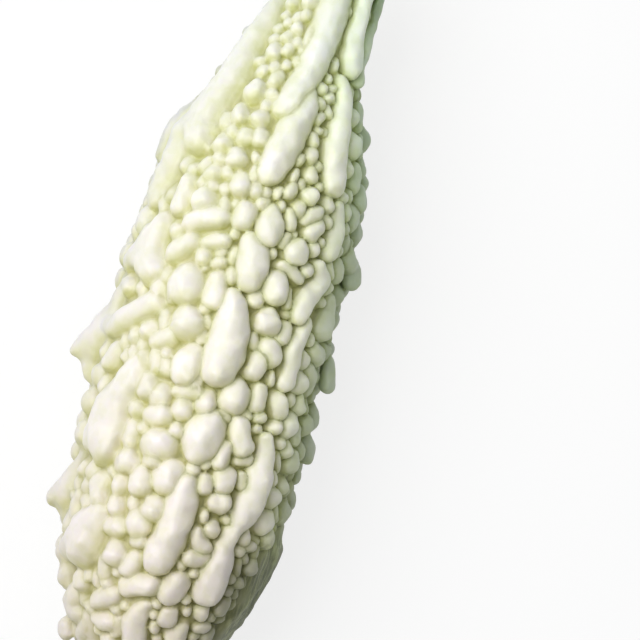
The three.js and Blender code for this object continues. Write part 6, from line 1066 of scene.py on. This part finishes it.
    # cloudy mottling
    cloud = node(t, "ShaderNodeTexNoise", -950, -750)
    cloud.inputs["Scale"].default_value = 95.0
    cloud.inputs["Detail"].default_value = 4.0
    t.links.new(coords.outputs["Object"], cloud.inputs["Vector"])
    cloud_tone = ramp(t, -700, -750, [(0.3, (0.93, 0.945, 0.86)), (0.7, (1.0, 1.0, 1.0))], "LINEAR")
    t.links.new(cloud.outputs["Fac"], cloud_tone.inputs["Fac"])
    mottled = mix(t, 150, 50, "MULTIPLY")
    mottled.inputs["Factor"].default_value = 1.0
    t.links.new(c, mottled.inputs["A"])
    t.links.new(cloud_tone.outputs["Color"], mottled.inputs["B"])
    # finer patches, some pinker and some yellower
    patch = node(t, "ShaderNodeTexNoise", -950, -1150)
    patch.inputs["Scale"].default_value = 270.0
    patch.inputs["Detail"].default_value = 3.0
    t.links.new(coords.outputs["Object"], patch.inputs["Vector"])
    patch_tone = ramp(t, -700, -1150, [(0.36, (0.97, 0.975, 0.90)), (0.5, (1.0, 1.0, 0.985)), (0.64, (1.0, 0.985, 1.0))], "LINEAR")
    t.links.new(patch.outputs["Fac"], patch_tone.inputs["Fac"])
    c = over(350, 50, mottled.outputs["Result"], patch_tone.outputs["Color"])
    # painted shade: a thin greyer rim where the sunny side turns away from the eye
    turn = node(t, "ShaderNodeLayerWeight", -1200, -1350)
    turn.inputs["Blend"].default_value = 0.5
    rim = toned(-1350, turn.outputs["Facing"], 0.0, 1.0, [(0.30, (1, 1, 1)), (0.45, (0.95, 0.955, 0.98)), (0.62, (0.83, 0.84, 0.93))])
    rimmed = mix(t, 550, 100, "MULTIPLY")
    fade = node(t, "ShaderNodeMapRange", -950, -1700)
    fade.inputs["From Min"].default_value = -45.0
    fade.inputs["From Max"].default_value = 30.0
    fade.inputs["To Min"].default_value = 0.4
    t.links.new(at["station"], fade.inputs["Value"])
    faded = node(t, "ShaderNodeMath", -500, -1550, operation="MULTIPLY")
    t.links.new(remap(t, -700, -1550, at["side"], 0.78, 0.95), faded.inputs[0])
    t.links.new(fade.outputs["Result"], faded.inputs[1])
    t.links.new(faded.outputs["Value"], rimmed.inputs["Factor"])
    t.links.new(c, rimmed.inputs["A"])
    t.links.new(rim, rimmed.inputs["B"])
    t.links.new(rimmed.outputs["Result"], p.inputs["Base Color"])
    # gloss and fine skin
    rough = ramp(t, 150, -250, [(0.0, (0.55, 0.55, 0.55)), (1.0, (0.36, 0.36, 0.36))], "LINEAR")
    t.links.new(relief, rough.inputs["Fac"])
    t.links.new(rough.outputs["Color"], p.inputs["Roughness"])
    fine = node(t, "ShaderNodeTexNoise", -350, -600)
    fine.inputs["Scale"].default_value = 700.0
    fine.inputs["Detail"].default_value = 3.0
    t.links.new(coords.outputs["Object"], fine.inputs["Vector"])
    bump = node(t, "ShaderNodeBump", 500, -500)
    bump.inputs["Strength"].default_value = 0.12
    bump.inputs["Distance"].default_value = 0.0004
    t.links.new(fine.outputs["Fac"], bump.inputs["Height"])
    rasp = node(t, "ShaderNodeBump", 700, -500)
    rasp.inputs["Distance"].default_value = 0.0007
    t.links.new(at["flank"], rasp.inputs["Strength"])
    t.links.new(streak.outputs["Fac"], rasp.inputs["Height"])
    t.links.new(bump.outputs["Normal"], rasp.inputs["Normal"])
    t.links.new(rasp.outputs["Normal"], p.inputs["Normal"])
    p.inputs["Specular IOR Level"].default_value = 0.45
    p.inputs["Subsurface Weight"].default_value = 0.35
    p.inputs["Subsurface Radius"].default_value = (1.0, 0.95, 0.60)
    p.inputs["Subsurface Scale"].default_value = 0.003
    return m


def stalk_material():
    m = bpy.data.materials.new("stalk")
    m.use_nodes = True
    t = m.node_tree
    t.nodes.clear()
    out = node(t, "ShaderNodeOutputMaterial", 900, 0)
    p = node(t, "ShaderNodeBsdfPrincipled", 600, 0)
    t.links.new(p.outputs["BSDF"], out.inputs["Surface"])
    coords = node(t, "ShaderNodeTexCoord", -900, 0)
    stretch = node(t, "ShaderNodeMapping", -700, 0)
    stretch.inputs["Scale"].default_value = (0.12, 1, 1)
    t.links.new(coords.outputs["Object"], stretch.inputs["Vector"])
    grain = node(t, "ShaderNodeTexNoise", -500, 0)
    grain.inputs["Scale"].default_value = 1500.0
    grain.inputs["Detail"].default_value = 4.0
    t.links.new(stretch.outputs["Vector"], grain.inputs["Vector"])
    colour = ramp(t, -250, 100, [(0.3, (0.16, 0.21, 0.06)), (0.6, (0.31, 0.37, 0.13)), (0.8, (0.45, 0.48, 0.24))], "LINEAR")
    t.links.new(grain.outputs["Fac"], colour.inputs["Fac"])
    end = node(t, "ShaderNodeAttribute", -500, -300, attribute_name="cut_end")
    pith = node(t, "ShaderNodeTexVoronoi", -500, -500)
    pith.inputs["Scale"].default_value = 1900.0
    t.links.new(coords.outputs["Object"], pith.inputs["Vector"])
    pith_colour = ramp(t, -250, -400, [(0.0, (0.62, 0.58, 0.34)), (0.6, (0.45, 0.40, 0.20)), (1.0, (0.24, 0.20, 0.09))], "LINEAR")
    t.links.new(pith.outputs["Distance"], pith_colour.inputs["Fac"])
    shown = mix(t, 150, 50)
    t.links.new(end.outputs["Fac"], shown.inputs["Factor"])
    t.links.new(colour.outputs["Color"], shown.inputs["A"])
    t.links.new(pith_colour.outputs["Color"], shown.inputs["B"])
    t.links.new(shown.outputs["Result"], p.inputs["Base Color"])
    rough = ramp(t, 150, -250, [(0.0, (0.55, 0.55, 0.55)), (1.0, (0.8, 0.8, 0.8))], "LINEAR")
    t.links.new(grain.outputs["Fac"], rough.inputs["Fac"])
    t.links.new(rough.outputs["Color"], p.inputs["Roughness"])
    bump = node(t, "ShaderNodeBump", 350, -450)
    bump.inputs["Strength"].default_value = 0.4
    bump.inputs["Distance"].default_value = 0.0003
    t.links.new(grain.outputs["Fac"], bump.inputs["Height"])
    t.links.new(bump.outputs["Normal"], p.inputs["Normal"])
    p.inputs["Subsurface Weight"].default_value = 0.1
    p.inputs["Subsurface Scale"].default_value = 0.001
    return m


def floor_material():
    m = bpy.data.materials.new("floor")
    m.use_nodes = True
    p = m.node_tree.nodes["Principled BSDF"]
    p.inputs["Base Color"].default_value = (0.93, 0.93, 0.925, 1)
    p.inputs["Roughness"].default_value = 0.9
    p.inputs["Specular IOR Level"].default_value = 0.1
    # seen directly it is nearly white, so that only a faint shadow is left on it
    t = m.node_tree
    out = t.nodes["Material Output"]
    path = node(t, "ShaderNodeLightPath", -600, 300)
    white = node(t, "ShaderNodeEmission", 0, -400)
    white.inputs["Color"].default_value = (1.0, 1.0, 1.0, 1)
    white.inputs["Strength"].default_value = 1.0
    share = node(t, "ShaderNodeMath", -300, 300, operation="MULTIPLY")
    share.inputs[1].default_value = 0.78
    t.links.new(path.outputs["Is Camera Ray"], share.inputs[0])
    seen = node(t, "ShaderNodeMixShader", 300, 0)
    t.links.new(share.outputs["Value"], seen.inputs["Fac"])
    t.links.new(p.outputs["BSDF"], seen.inputs[1])
    t.links.new(white.outputs["Emission"], seen.inputs[2])
    t.links.new(seen.outputs["Shader"], out.inputs["Surface"])
    return m


# ---------------------------------------------------------------- build
skin = make_fruit()
skin.data.materials.append(skin_material())
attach(skin, "root")
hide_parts("fruit")

stalk = make_stalk()
stalk.data.materials.append(stalk_material())
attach(stalk, "root")
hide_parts("stem_stub")

floor_mesh = bpy.data.meshes.new("floor")
floor_mesh.from_pydata([(-3, -3, -0.0001), (3, -3, -0.0001), (3, 3, -0.0001), (-3, 3, -0.0001)], [], [(0, 1, 2, 3)])
floor = bpy.data.objects.new("floor", floor_mesh)
floor.data.materials.append(floor_material())
bpy.context.scene.collection.objects.link(floor)

# ---------------------------------------------------------------- camera: straight down, turned so that the neck points up and right
ROLL = math.radians(15.5)
DISTANCE = 0.9
EYE = Vector(((9.54 + FRAME[0]) / 1000, (-34.40 + FRAME[1]) / 1000, FRAME[2] / 1000 + DISTANCE))
right = Vector((math.sin(ROLL), -math.cos(ROLL), 0))
up = Vector((math.cos(ROLL), math.sin(ROLL), 0))
cam = bpy.data.cameras.new("camera")
cam.sensor_width = 36
cam.lens = 36 * DISTANCE / (640 * 0.34e-3)
cam.clip_end = 20
camera = bpy.data.objects.new("camera", cam)
camera.matrix_world = Matrix(((right.x, up.x, 0, EYE.x), (right.y, up.y, 0, EYE.y), (0, 0, 1, EYE.z), (0, 0, 0, 1)))
bpy.context.scene.collection.objects.link(camera)
bpy.context.scene.camera = camera


# ---------------------------------------------------------------- light
def area(name, place, aim, size, watts, colour):
    data = bpy.data.lights.new(name, "AREA")
    data.shape = "DISK"
    data.size = size
    data.energy = watts
    data.color = colour
    lamp = bpy.data.objects.new(name, data)
    lamp.location = place
    lamp.rotation_euler = (Vector(aim) - Vector(place)).to_track_quat("-Z", "Y").to_euler()
    bpy.context.scene.collection.objects.link(lamp)


def from_image(x, y, z):
    """A place given by image right, image up and height, metres."""
    return tuple(right * x + up * y + Vector((0, 0, z)))


area("key", from_image(-0.62, 0.42, 1.20), (0, 0, 0.04), 1.3, 16.0, (1.0, 1.0, 1.0))
area("top", from_image(-0.1, 0.1, 1.6), (0, 0, 0.04), 1.4, 5, (1, 1, 1))

world = bpy.data.worlds.new("world")
world.use_nodes = True
world.node_tree.nodes["Background"].inputs["Color"].default_value = (0.95, 0.97, 1.0, 1)
world.node_tree.nodes["Background"].inputs["Strength"].default_value = 0.30
bpy.context.scene.world = world
bpy.context.scene.view_settings.view_transform = "Standard"
bpy.context.scene.view_settings.look = "None"
